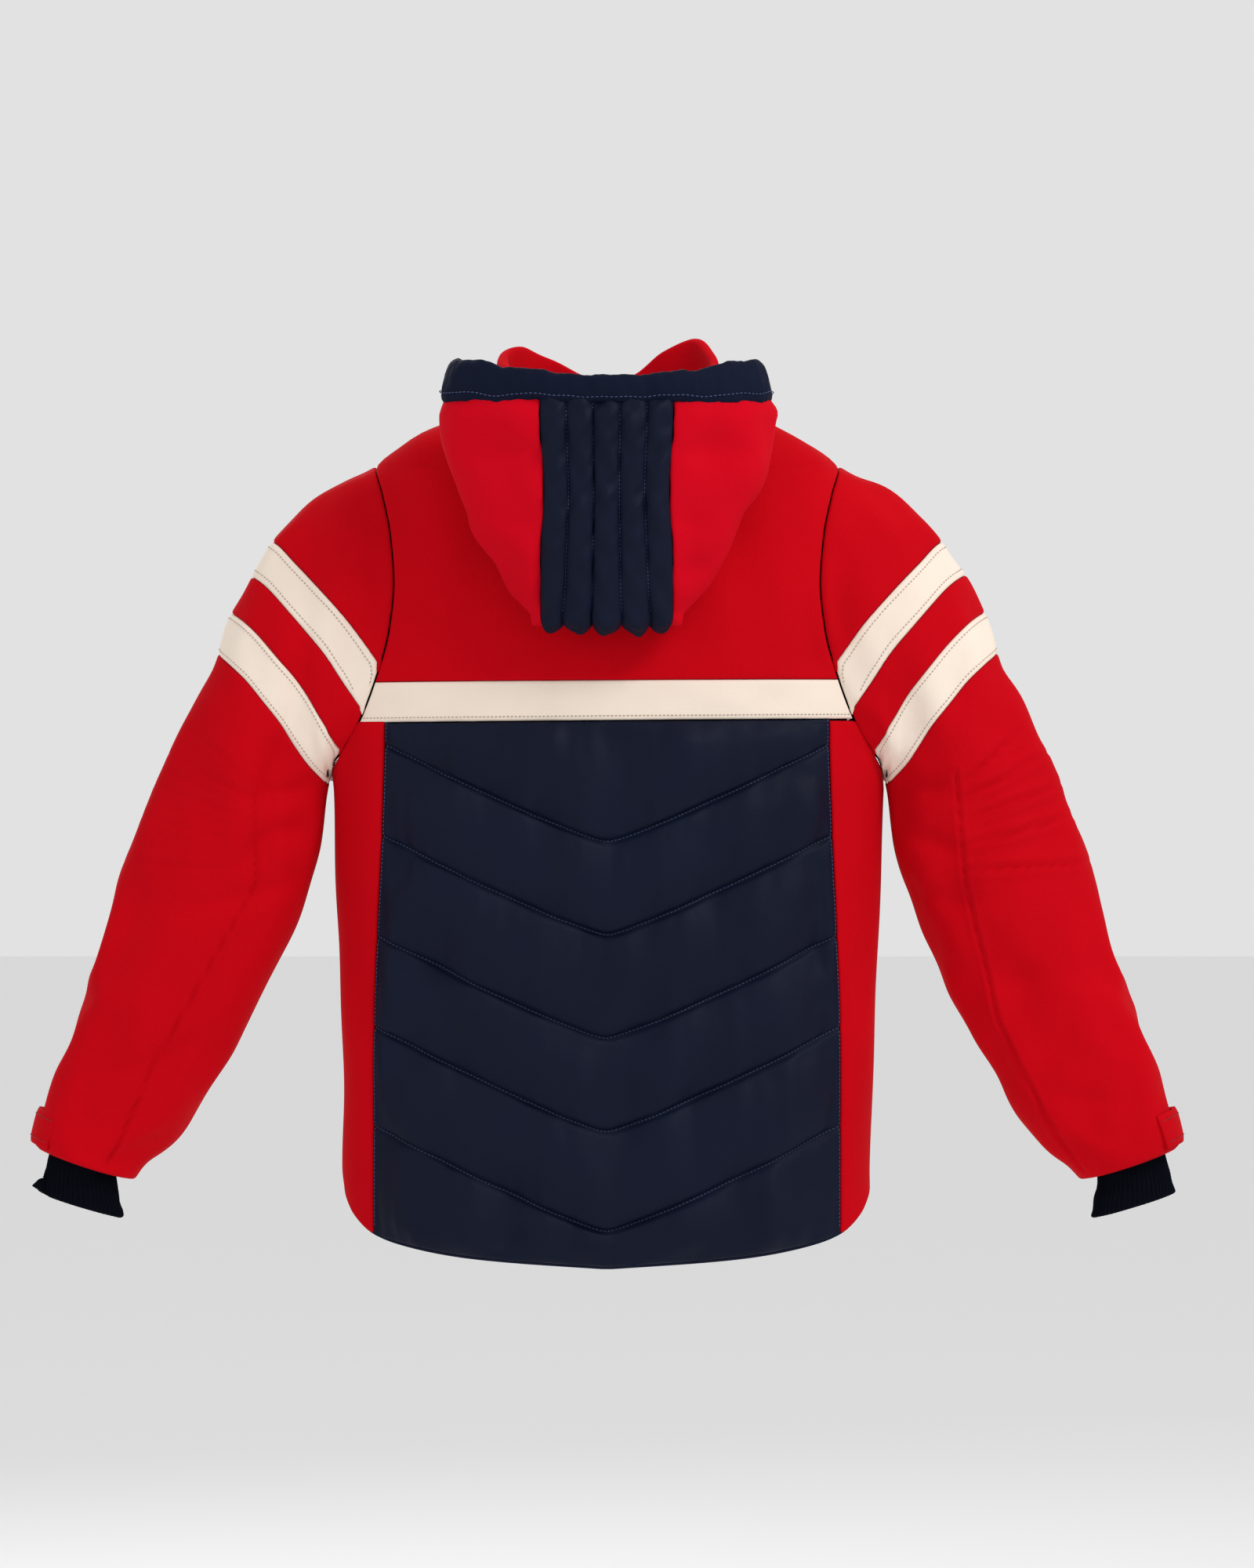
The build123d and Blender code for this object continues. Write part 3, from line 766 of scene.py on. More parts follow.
def plain_piece(name, p, material, body, seed, replaced=(), folds=1.6 * MM):
    """A flat cloth panel with soft folds and sewn edges."""
    n = normals(p)
    free = flat_at_pocket(p)[..., None]
    q = p + soft_folds(p, n, folds, (0.09, 0.09, 0.22), seed) * free - n * (1 - free) * 1.2 * MM
    q = q + normals(q) * sewn(q, (1, 1, 1, 1))[..., None]
    ob = slab(name, q, material, body, thick=4.5 * MM)
    if replaced:
        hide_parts(*replaced)
    return q


def pocket_line():
    """The left pocket's zip as x and z at its foot and its head."""
    lo, hi = low("pocket_zip_left"), high("pocket_zip_left")
    return np.array((hi[0] - 6.5 * MM, lo[2])), np.array((lo[0] + 6.5 * MM, hi[2]))


def flat_at_pocket(p):
    """Leaves a panel flat, and a little sunk, along its pocket."""
    foot, head = pocket_line()
    flat = np.abs(p[..., (0, 2)])
    foot, head = np.abs(foot), np.abs(head)
    t = np.clip(((flat - foot) @ (head - foot)) / ((head - foot) @ (head - foot)), 0, 1)
    d = np.linalg.norm(flat - foot - t[..., None] * (head - foot), axis=-1)
    return ease((d - 10 * MM) / (16 * MM)) * (p[..., 1] < 0) + (p[..., 1] >= 0)


BODY_STEP = 4.5 * MM


def back_pieces():
    """The yoke, the stripe and the quilted panel."""
    step = BODY_STEP
    p = patch(lambda z: -armhole_theta(z), armhole_theta, neck_z, stripe_top,
              spacing(0.40, step), spacing(0.235, step))
    back = "jacket_body"
    plain_piece("back_yoke_cloth", p, RED, back, 11, ["back_yoke"], folds=2.2 * MM)
    p = patch(lambda z: -armhole_theta(z), armhole_theta, stripe_top, stripe_bottom,
              spacing(0.42, step), spacing(0.034, 3 * MM))
    q = plain_piece("back_stripe_cloth", p, CREAM, back, 12, ["back_stripe"],
                    folds=1.2 * MM)
    n = normals(q)
    v = along(q, 1)[0]
    row = int(np.argmin(abs(v[0] - (v[0, -1] - 5 * MM))))
    stitches("back_stripe_stitches", [(q[:, row] + n[:, row] * 0.2 * MM, n[:, row])], THREAD_CREAM,
             back)
    quilt_piece("back_quilt_cloth", back,
                lambda z: -panel_theta(z), panel_theta, (19, 16, 17, 16, 17, 9), CHEVRON_TIPS, 21,
                ["back_quilted_panel"])


def side_and_front(side):
    """A side panel in two parts, and the front's yoke, stripe and quilt."""
    step = BODY_STEP
    sign = 1 if side == "left" else -1
    split, top, foot = (constant(value) for value in (SIDE_SPLIT, STRIPE_TOP, STRIPE_BOTTOM))
    tall = spacing(0.40, 4 * MM)
    p = patch(panel_theta, split, side_top, hem_z, spacing(0.13, 3.4 * MM), tall)
    plain_piece(f"side_back_cloth_{side}", on_side(p, side), RED, sleeve_blend(side),
                31 + sign, [f"side_panel_{side}"], folds=1.5 * MM)
    front = front_blend(side)
    p = patch(split, fold_theta, side_top, hem_z, spacing(0.09, 3.4 * MM), tall)
    plain_piece(f"side_front_cloth_{side}", on_side(p, side), RED, front, 35 + sign,
                folds=1.2 * MM)
    p = patch(lambda z: math.pi - armhole_theta(z), edge_theta, neck_z, top,
              spacing(0.20, step), spacing(0.20, step))
    plain_piece(f"front_yoke_cloth_{side}", on_side(p, side), RED, front, 41 + sign,
                [f"front_yoke_{side}", f"front_centre_yoke_{side}"])
    p = patch(lambda z: math.pi - armhole_theta(z), edge_theta, top, foot,
              spacing(0.20, step), spacing(0.034, 3 * MM))
    plain_piece(f"front_stripe_cloth_{side}", on_side(p, side), CREAM, front,
                45 + sign, [f"front_stripe_{side}", f"front_centre_stripe_{side}"], folds=1 * MM)
    quilt_piece(f"front_quilt_cloth_{side}", front, fold_theta, edge_theta,
                (19, 16, 17, 16, 13), CHEVRON_TIPS[:4], 51 + sign, [f"front_quilted_panel_{side}"],
                mirror_grid=side == "right")


# ---- sleeves ---------------------------------------------------------------------------------
SLEEVE_MID = (SLEEVE[:, :2] + SLEEVE[:, 2:4]) / 2
SLEEVE_RUN = np.concatenate([[0], np.cumsum(np.linalg.norm(np.diff(SLEEVE_MID, axis=0), axis=1))])


def tube(table, run, phi, t):
    """Points round a sleeve: phi is 0 at its outer edge and a quarter turn at its back."""
    c = [smooth_table(run, table[:, k], t) for k in range(5)]
    mid_x, mid_z = (c[0] + c[2]) / 2, (c[1] + c[3]) / 2
    ax, az = (c[0] - c[2]) / 2, (c[1] - c[3]) / 2
    return np.stack([mid_x + ax * np.cos(phi), c[4] * np.sin(phi), mid_z + az * np.cos(phi)], -1)


def crossing(phi, wanted):
    """How far along the sleeve each angle's line crosses the surface where wanted(point) is zero."""
    t = np.linspace(0, SLEEVE_RUN[-1], 900)
    p = tube(SLEEVE, SLEEVE_RUN, phi[:, None], t[None, :])
    value = wanted(p)
    below = value <= 0
    below[:, 0] = True
    last = value.shape[1] - 1 - np.argmax(below[:, ::-1], axis=1)
    last = np.minimum(last, value.shape[1] - 2)
    a = value[np.arange(len(phi)), last]
    b = value[np.arange(len(phi)), last + 1]
    return t[last] + (t[1] - t[0]) * np.clip(-a / np.where(b == a, 1, b - a), 0, 1)


def share_along(points):
    run = np.concatenate([[0], np.cumsum(np.linalg.norm(np.diff(points, axis=0), axis=1))])
    return run / run[-1]


def round_side(q, side):
    """A closed grid round the left sleeve, facing out, or its mirror image on the right."""
    return q[::-1] if side == "left" else q * np.array((-1, 1, 1))


@functools.cache
def sleeve_master():
    """The sleeve's relaxed surface as a grid round and along it, and where each band starts."""
    count = 84
    phi = np.arange(count) / count * 2 * math.pi
    seam = crossing(phi, lambda p: p[..., 0] - armhole_x(p[..., 2]))
    end = SLEEVE_RUN[-1]
    bow = (0.007 * np.sin(phi) ** 2)[:, None]

    def past(p, d):
        return p[..., 0] * math.sin(STRIPE_ANGLE) - p[..., 2] * math.cos(STRIPE_ANGLE) - d + bow

    bands = [crossing(phi, lambda p, d=d: past(p, d)) for d in STRIPE_AT]
    share = np.linspace(0, 1, 96)
    t = seam[:, None] + (end - seam[:, None]) * share[None, :]
    p = tube(SLEEVE, SLEEVE_RUN, phi[:, None], t)
    # the seam follows the body's armhole, length for length, from the shoulder to the underarm
    z = np.linspace(-0.0375, -0.2995, 300)
    body = torso(armhole_theta(z), z)
    edge = np.stack([armhole_x(z), np.abs(body[:, 1]), z], -1)
    edge[[0, -1], 1] = 0
    half = count // 2
    own = share_along(p[: half + 1, 0])
    goal = np.stack([np.interp(own, share_along(edge), edge[:, k]) for k in range(3)], -1)
    goal = np.concatenate([goal, goal[-2:0:-1] * np.array((1, -1, 1))])
    fade = 1 - ease(share / 0.22)
    p = p + (goal - p[:, 0])[:, None, :] * fade[None, :, None]
    pins = np.zeros(p.shape[:2])
    pins[:, 0] = pins[:, -1] = 1
    pins[:, 1] = pins[:, -2] = 0.6
    soft = relax(p, pins, frames=16, slack=0.03, pressure=1.6, stiff=6, bend=2.0, cap=6 * MM, around=True)
    start, stop = elbow_blend("left")[2:]
    strip = np.linalg.norm(stop - start)
    bands.append(crossing(phi, lambda p: (p - start) @ (stop - start) / strip + 4 * MM))
    rows = [(np.maximum(b, seam) - seam) / (end - seam) * (len(share) - 1) for b in bands]
    return soft, rows


def around_sample(p, u, v):
    """The closed grid p at fractional places u round it and v along it, each an array of one shape."""
    n, m = p.shape[:2]
    i, j = np.floor(u).astype(int), np.clip(np.floor(v).astype(int), 0, m - 2)
    a, b = (u - i)[..., None], (v - j)[..., None]

    def weights(t):
        return (-0.5 * t + t * t - 0.5 * t**3, 1 - 2.5 * t * t + 1.5 * t**3,
                0.5 * t + 2 * t * t - 1.5 * t**3, -0.5 * t * t + 0.5 * t**3)

    padded = np.concatenate([2 * p[:, :1] - p[:, 1:2], p, 2 * p[:, -1:] - p[:, -2:-1]], axis=1)
    out = 0
    for du, wu in enumerate(weights(a)):
        for dv, wv in enumerate(weights(b)):
            out = out + wu * wv * padded[(i + du - 1) % n, j + dv]
    return out


def sleeve_pieces(side):
    """The cap, stripes and band, which start at the armhole; the rest of the sleeve is cut above its elbow.
    """
    sign = 1 if side == "left" else -1
    soft, rows = sleeve_master()
    n, m = soft.shape[:2]
    starts = [np.zeros(n)] + rows[:4]
    ends = rows[:4] + [np.full(n, m - 1.0)]
    names = ("cap", "stripe_upper", "band", "stripe_lower", "sleeve")
    arm, elbow = sleeve_blend(side), elbow_blend(side)
    outward = -normals(soft, True)
    fine = 2
    u = np.arange(n * fine) / fine

    def fuller(row):
        return np.interp(u, np.arange(n + 1), np.append(row, row[0]))

    for name, a, b in zip(names, starts, ends):
        a, b = fuller(a), fuller(b)
        if name == "sleeve":
            c = np.maximum(fuller(rows[4]), a + 1)
            upper = spacing(0.126, 3.6 * MM, edges=(True, False))
            lower = spacing(0.335, 3.8 * MM, edges=(False, True))
            to_cut = a[:, None] + (c - a)[:, None] * upper
            from_cut = c[:, None] + (b - c)[:, None] * lower
            v = np.concatenate([to_cut, from_cut[:, 1:]], 1)
        else:
            t = spacing(float(np.max(b - a)) * SLEEVE_RUN[-1] / m, 3.6 * MM)
            v = a[:, None] + (b - a)[:, None] * t[None, :]
        at = np.repeat(u[:, None], v.shape[1], 1)
        q, out = around_sample(soft, at, v), around_sample(outward, at, v)
        out /= np.linalg.norm(out, axis=-1, keepdims=True)
        v0, v1 = along(q, 1)
        fade = ease(v1 / 0.012) if name == "sleeve" else 1.0
        valley = np.minimum(roll_down(v0), roll_down(v1))
        valley = valley * ease((v0 + v1) / 0.008)
        q = round_side(q + out * (sleeve_folds(q, side) * fade + valley)[..., None], side)
        material = CREAM if "stripe" in name else RED
        if name == "sleeve":
            # each part tucks one row under the other, so that the cut doesn't show
            cut = len(upper) - 1
            tucked = q - normals(q, True) * 0.15 * MM
            above = np.concatenate([q[:, : cut + 1], tucked[:, cut + 1 : cut + 2]], 1)
            below = np.concatenate([tucked[:, cut - 1 : cut], q[:, cut:]], 1)
            ob = slab(f"upper_sleeve_cloth_{side}", above, material, arm, thick=4 * MM, around=True)
            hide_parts(f"upper_sleeve_{side}")
            ob = slab(f"lower_sleeve_cloth_{side}", below, material, elbow, thick=4 * MM, around=True)
            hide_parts(f"lower_sleeve_{side}")
            continue
        ob = slab(f"sleeve_{name}_cloth_{side}", q, material, arm, thick=4 * MM, around=True)
        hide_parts(f"sleeve_{name}_{side}")
        if "stripe" in name:
            normal = normals(q, True)
            edges = [int(np.argmin(abs(t - x / 34))) for x in (4.5, 29.5)]
            keep = v1[::-sign][:, 0] > 0.02
            loops = [(q[keep, r] + normal[keep, r] * 0.2 * MM, normal[keep, r]) for r in edges]
            stitches(f"sleeve_{name}_stitches_{side}", loops, THREAD_CREAM, arm)


def off_path(q, path):
    """Distance of each point, seen from behind, from a path of (x, z) in metres, and how far along it is."""
    flat = q[..., (0, 2)]
    best = np.full(q.shape[:2], 1e9)
    share = np.zeros(q.shape[:2])
    for k, (a, b) in enumerate(zip(path[:-1], path[1:])):
        a, b = np.array(a), np.array(b)
        t = np.clip(((flat - a) @ (b - a)) / ((b - a) @ (b - a)), 0, 1)
        d = np.linalg.norm(flat - a - t[..., None] * (b - a), axis=-1)
        share = np.where(d < best, (k + t) / (len(path) - 1), share)
        best = np.minimum(best, d)
    return best, share


# folds seen from behind: depth and half width in mm, and the path in mm
SLEEVE_FOLDS = {
    "left": (
        (6.5, 13, ((-256, -142), (-263, -243), (-287, -311), (-290, -351))),
        (5.0, 9, ((-228, -300), (-262, -318), (-310, -322))),
        (5.0, 10, ((-246, -351), (-282, -352), (-330, -392))),
        (3.0, 9, ((-250, -385), (-300, -405), (-372, -420))),
        (3.0, 12, ((-330, -520), (-372, -545), (-420, -560))),
        (4.0, 12, ((-358, -606), (-395, -628), (-450, -640))),
    ),
    "right": (
        (5.0, 10, ((-222, -292), (-252, -312), (-292, -318))),
        (3.6, 9, ((-232, -340), (-268, -358), (-312, -372))),
        (3.0, 10, ((-250, -398), (-290, -412), (-340, -410))),
        (2.6, 14, ((-300, -470), (-345, -480), (-410, -470))),
        (2.6, 12, ((-350, -560), (-395, -580), (-450, -585))),
        (2.6, 14, ((-215, -150), (-250, -210), (-262, -262))),
    ),
}
ELBOW_PLEATS = (((304, -310), (354, -263)), ((297, -327), (378, -284)), ((304, -343), (388, -311)),
                ((304, -364), (400, -338)), ((297, -385), (418, -378)))
SLEEVE_SEAM = {
    "left": ((300, -320), (300, -398), (351, -486), (392, -560), (428, -640)),
    "right": ((297, -300), (306, -398), (334, -513), (372, -590), (408, -641)),
}


def sleeve_folds(q, side):
    """Height of the sleeve's folds, the fan of pleats at its elbow and its back seam."""
    behind = ease((q[..., 1] + 0.012) / 0.03)
    h = 2.0 * MM * ripple(q, (0.07, 0.07, 0.13), 80 if side == "left" else 81)
    for depth, wide, path in SLEEVE_FOLDS[side]:
        path = [(-x * MM, z * MM) for x, z in path]
        d, share = off_path(q, path)
        ends = np.sin(math.pi * np.clip(share, 0.04, 0.96)) ** 0.5
        h = h - depth * MM * np.exp(-((d / (wide * MM)) ** 2)) * behind * ends
    outer = ease((q[..., 1] + 0.02) / 0.03)
    for path in ELBOW_PLEATS:
        d, share = off_path(q, [(x * MM, z * MM) for x, z in path])
        fade = np.sin(math.pi * np.clip(share, 0.02, 0.98)) ** 0.6 * outer
        size = 2.2 if side == "right" else 0.6
        ridge, groove = 1.1 * np.exp(-(((d - 5 * MM) / (4 * MM)) ** 2)), np.exp(-((d / (2.2 * MM)) ** 2))
        h = h + size * MM * fade * (ridge - groove)
    d, _ = off_path(q, [(x * MM, z * MM) for x, z in SLEEVE_SEAM[side]])
    near = ease((q[..., 1] - 0.01) / 0.02)
    ridge, groove = np.exp(-(((d - 3 * MM) / (2.2 * MM)) ** 2)), 2.2 * np.exp(-((d / (1.6 * MM)) ** 2))
    h = h + near * MM * (ridge - groove)
    return h * ease((q[..., 0] - armhole_x(q[..., 2]) - 3 * MM) / 0.03)


def sleeve_lining(side):
    """The lining starts inside the armhole and ends in the cuff."""
    rest, _ = sleeve_master()
    n, m = rest.shape[:2]
    u = np.arange(0, n, 2).astype(float)
    v = np.linspace(5, m - 2.5, 44)
    grid_u, grid_v = np.meshgrid(u, v, indexing="ij")
    q = around_sample(rest, grid_u, grid_v)
    out = -normals(q, True)
    sunk = np.minimum(sleeve_folds(q, side), 0)[..., None]
    q = q - out * (8.0 + 1.2 * ripple(q, (0.03, 0.03, 0.06), 91)[..., None]) * MM + out * sunk
    ob = slab(f"sleeve_lining_cloth_{side}", round_side(q, side), LINING,
              elbow_blend(side), thick=0.9 * MM, around=True)
    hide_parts(f"upper_sleeve_lining_{side}", f"lower_sleeve_lining_{side}")


def cuff_facing(side):
    """The sleeve's cloth turned in at the cuff."""
    rest, _ = sleeve_master()
    n, m = rest.shape[:2]
    grid_u, grid_v = np.meshgrid(np.arange(n) * 1.0, np.linspace(m - 3.2, m - 1, 8), indexing="ij")
    c = around_sample(rest, grid_u, grid_v)
    out = -normals(c, True)
    depth = np.array((9, 9, 9, 8.6, 7.6, 6.2, 4.6, 2.6)) * MM
    c = c - out * depth[None, :, None]
    slab(f"cuff_facing_{side}", round_side(c, side), RED, f"sleeve_lower_{side}",
         thick=1.5 * MM, around=True)


def wrist_gaiter(side):
    """The knitted gaiter, with a notch in the left one's end."""
    mid = (GAITER[:, :2] + GAITER[:, 2:4]) / 2
    run = np.concatenate([[0], np.cumsum(np.linalg.norm(np.diff(mid, axis=0), axis=1))])
    turn = np.arange(192) / 192 * 2 * math.pi
    t = np.concatenate([np.linspace(0, run[-1] - 2 * MM, 22), run[-1] - np.array((1.2, 0.5, 0)) * MM])
    g = tube(GAITER, run, turn[:, None], t[None, :])
    out = -normals(g, True)
    rib = 0.9 * MM * np.sin(turn * 48)[:, None]
    end = run[-1] - t
    waves = 0.8 * MM * ripple(g, (0.05, 0.05, 0.02), 96 if side == "left" else 94)
    height = rib * (1 - 0.4 * np.exp(-end / (3 * MM))) + waves + roll_down(end, 2 * MM, 1.5 * MM)
    g = g + out * height[..., None]
    if side == "left":
        notch = np.exp(-(((turn - 0.35) / 0.16) ** 2))[:, None]
        notch = notch * ease((t - run[-1] + 16 * MM) / (16 * MM))[None, :]
        ahead = g - np.roll(g, 1, 1)
        ahead[:, 0] = ahead[:, 1]
        ahead /= np.linalg.norm(ahead, axis=-1, keepdims=True)
        g = g - ahead * (notch * 14 * MM)[..., None]
    ob = slab(f"gaiter_cloth_{side}", round_side(g, side), KNIT, f"sleeve_lower_{side}",
              thick=2.2 * MM, around=True)
    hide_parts(f"wrist_gaiter_{side}")


def cuff_tab_piece(side):
    """The strap that closes the cuff, lying round its outer edge."""
    sign = 1 if side == "left" else -1
    mirror = np.array((sign, 1, 1))
    body = (f"sleeve_lower_{side}", f"cuff_tab_{side}", np.array((0, 0.018, 0)), np.array((0, 0.006, 0)))
    lean = np.array((math.sin(math.radians(19.4)), 0, -math.cos(math.radians(19.4))))
    lo, hi = low("cuff_tab_left"), high("cuff_tab_left")
    middle = np.array((hi[0] - 8 * MM, 0, (lo[2] + hi[2]) / 2 + 2 * MM))
    level = float(middle @ lean)
    turn = np.concatenate([np.linspace(0.85, -1.45, 80), -1.45 - np.array((0.01, 0.02, 0.03))])
    rows = np.linspace(-1, 1, 17)
    p = np.zeros((len(turn), len(rows), 3))
    for i, a in enumerate(turn):
        half = 15 * MM * math.sqrt(max(0.0, 1 - max(0, (-a - 1.25) / 0.235) ** 2) + 0.02)
        for j, r in enumerate(rows):
            wanted = level + r * half
            t = np.linspace(SLEEVE_RUN[-1] - 0.1, SLEEVE_RUN[-1], 60)
            q = tube(SLEEVE, SLEEVE_RUN, np.full(60, a), t)
            p[i, j] = [np.interp(wanted, q @ lean, q[:, k]) for k in range(3)]
    out = normals(p)
    if out[len(turn) // 2, 8] @ np.array((0.3, -1, 0)) < 0:
        out = -out
    lift = (5.0 - 1.6 * np.abs(rows) ** 4)[None, :] * MM * np.ones((len(turn), 1))
    lift = lift + 1.0 * MM * np.exp(-(((turn + 0.1) / 0.25) ** 2))[:, None]
    p = p + out * lift[..., None]
    q = p * mirror
    if (normals(q)[30, 8] @ (mirror * out[30, 8])) < 0:
        q = q[::-1]
    ob = slab(f"cuff_tab_cloth_{side}", q, RED, body, thick=3.2 * MM)
    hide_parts(f"cuff_tab_{side}")
    n = normals(q)
    rows_at = (3, 13)
    stitches(f"cuff_tab_stitches_{side}", [(q[2:-2, r] + n[2:-2, r] * 0.2 * MM, n[2:-2, r]) for r in rows_at],
             THREAD_RED, body)


# ---- hood ------------------------------------------------------------------------------------
HOOD_BLEND = ("jacket_body", "hood", np.array((0, 0.010, 0)), np.array((0, 0.090, 0)))


def hood_rim(phi):
    """The level of the hood's edge: high behind, falling to the neck's seam in front."""
    a = np.abs(phi)
    behind = 0.0175 + 0.0075 * ease(a / math.radians(80)) ** 1.5
    return behind + (0.004 - behind) * ease((a - math.radians(88)) / math.radians(62))


def hood_point(phi, t):
    """The hood's outside, hanging: t is 0 at its edge, 1 at its foot and above 1 under it."""
    rim = hood_rim(phi)
    z = rim + (HOOD_FOOT - rim) * np.minimum(t, 1)
    wide, deep, mid = by_level(HOOD, 1, z), by_level(HOOD, 2, z), by_level(HOOD, 3, z)
    under = np.clip((t - 1) / 0.12, 0, 1) * math.pi / 2
    shrink = np.cos(under)
    gather = 1 - 0.085 * (1 - ease(t / 0.14))
    x, y = oval(phi, wide * (0.95 + 0.05 * shrink) * gather, deep * shrink * gather)
    z = z - 0.010 * np.sin(under)
    y = y + mid
    a = torso(theta_at(np.minimum(np.abs(x), by_level(BODY, 1, z) * 0.999), z), z)
    y = np.maximum(y, a[..., 1] + 6 * MM + 0 * y)
    return np.stack([x, y, z], -1)


def hood_seam(t):
    """The angle at which the middle panel ends."""
    probe = np.radians(np.linspace(0, 88, 240))
    out = []
    for v in np.atleast_1d(t):
        x = hood_point(probe, np.full(240, v))[:, 0]
        waist = 1 - 0.06 * np.exp(-(((v - 0.45) / 0.2) ** 2))
        x = np.maximum.accumulate(x)
        out.append(np.interp(HOOD_MID_X * waist, x, probe))
    return np.array(out)


def hood_pieces():
    t = np.concatenate([np.linspace(0, 1, 52), 1 + 0.12 * np.linspace(0.14, 0.97, 9)])
    seam = hood_seam(np.minimum(t, 1))
    hood_centre(t, seam)
    for side in ("left", "right"):
        hood_side(side, t, seam)
    hood_lining()
    hood_binding()


def hood_centre(t, seam):
    """The middle panel: padded channels with a row of stitches between each two."""
    close = np.array((-0.02, -0.01, 0, 0.01, 0.02))
    beside = [k / CHANNELS * 2 - 1 + close for k in range(CHANNELS + 1)]
    s = np.unique(np.concatenate([np.linspace(-1, 1, 81)] + beside))
    s = s[(s >= -1) & (s <= 1)]
    p = hood_point(s[:, None] * seam[None, :], np.broadcast_to(t, (len(s), len(t))))
    n = normals(p)
    channel = np.abs(np.sin((s + 1) / 2 * CHANNELS * math.pi)) ** 0.55
    fade = ease(along(p, 1)[0] / 0.012)
    pucker = ripple(p, (0.024, 0.024, 0.018), 61) * 2.0 * MM
    height = channel[:, None] * (5.2 * MM + pucker) * (0.45 + 0.55 * fade) - 1.6 * MM
    q = p + n * height[..., None]
    q[..., 2] -= (channel[:, None] * 3.5 * MM) * ease((t - 0.86) / 0.14)[None, :]
    ob = slab("hood_centre_cloth", q, NAVY, HOOD_BLEND, thick=5 * MM)
    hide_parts("hood_centre_panel")
    m = normals(q)
    rows = [int(np.argmin(abs(s - (k / CHANNELS * 2 - 1)))) for k in range(1, CHANNELS)]
    stitches("hood_centre_stitches", [(q[r, :52] + m[r, :52] * 0.3 * MM, m[r, :52]) for r in rows],
             THREAD_NAVY, HOOD_BLEND)


def hood_side(side, t, seam):
    """The panel from the middle one to the neck's seam in front."""
    share = spacing(0.24, 4.5 * MM, edges=(True, False))
    phi = seam[None, :] + (math.pi - seam[None, :]) * share[:, None]
    p = hood_point(phi, np.broadcast_to(t, phi.shape))
    pins = np.zeros(phi.shape)
    pins[0, :] = pins[-1, :] = 1
    pins[:, 0] = 1
    pins[phi > math.radians(120)] = 1
    pins[:, t > 0.93] = 1
    p = relax(p, pins, frames=14, slack=0.02, pressure=1.2, stiff=8, bend=2.5, cap=5 * MM)
    n = normals(p)
    dent = hood_dents(p, phi, t, side)
    q = p + n * (dent + sewn(p, (1, 0, 0, 0)) * ease((1.02 - t) / 0.08)[None, :])[..., None]
    ob = slab(f"hood_side_cloth_{side}", on_side(q, side), HOOD_RED, HOOD_BLEND,
              thick=4 * MM)
    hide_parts(f"hood_side_{side}")


def hood_lining():
    phi = np.radians(np.arange(0, 360, 4.0) - 180)
    v = np.linspace(0.02, 1.0, 36)
    p = hood_point(phi[:, None], np.broadcast_to(v, (len(phi), len(v))))
    n = normals(p, True)
    middle = np.array((0, 0.112, -0.05))
    if np.mean((n * (p - middle)).sum(-1)) < 0:
        n = -n
    shallow = np.minimum(9 * MM, 0.45 * by_level(HOOD, 2, p[..., 2]))
    q = p - n * shallow[..., None] * (1 + 0.12 * ripple(p, (0.05, 0.05, 0.07), 66))[..., None]
    ob = slab("hood_lining_cloth", q, LINING, HOOD_BLEND, thick=0.9 * MM, around=True)
    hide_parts("hood_lining")


def hood_binding():
    """A padded tube along the hood's edge."""
    phi = np.radians(np.linspace(-128, 128, 181))
    rim = hood_point(phi, np.full(181, 0.0))
    below = hood_point(phi, np.full(181, 0.05))
    up = rim - below
    up /= np.linalg.norm(up, axis=1, keepdims=True)
    ahead = np.gradient(rim, axis=0)
    ahead /= np.linalg.norm(ahead, axis=1, keepdims=True)
    out = np.cross(ahead, up)
    out *= np.sign((out * (rim - np.array((0, 0.105, 0)))).sum(1))[:, None]
    turn = np.linspace(0, 2 * math.pi, 33)[:-1]
    c, d = np.cos(turn), np.sin(turn)
    r = (np.abs(c) ** 2.6 + np.abs(d) ** 2.6) ** (-1 / 2.6)
    taper = np.sqrt(np.clip(1 - (np.abs(phi) / math.radians(128.5)) ** 14, 0.01, 1))
    half = (12.0 + 7.0 * ease(np.abs(rim[:, 0]) / 0.13) ** 2) * MM * taper
    fat = 7.0 * MM * taper * (1 + 0.10 * ripple(rim, (0.06, 0.06, 0.06), 67))
    lump = ripple(rim, (0.045, 0.045, 0.1), 68) * 1.6 * MM
    mid = rim - out * 2.0 * MM + up * (half * 0.15 + lump)[:, None]
    p = (mid[:, None, :] + out[:, None, :] * (fat[:, None] * c * r)[..., None]
         + up[:, None, :] * (half[:, None] * d * r)[..., None])
    p = p.swapaxes(0, 1)
    n = normals(p, True)
    if np.mean((n * (p - mid[None])).sum(-1)) < 0:
        p = p[::-1]
        n = normals(p, True)
    crease = ripple(p, (0.012, 0.012, 0.03), 69) * 0.5 * MM
    p = p + n * crease[..., None]
    ob = slab("hood_binding_cloth", p, BINDING, HOOD_BLEND, thick=2.5 * MM, around=True)
    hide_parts("hood_binding")
    low_row = mid + out * (fat * 1.02)[:, None] - up * (half * 0.62)[:, None]
    keep = slice(8, -8)
    stitches("hood_binding_stitches", [(low_row[keep], out[keep])], THREAD_NAVY, HOOD_BLEND,
             pitch=4 * MM, length=2.7 * MM)


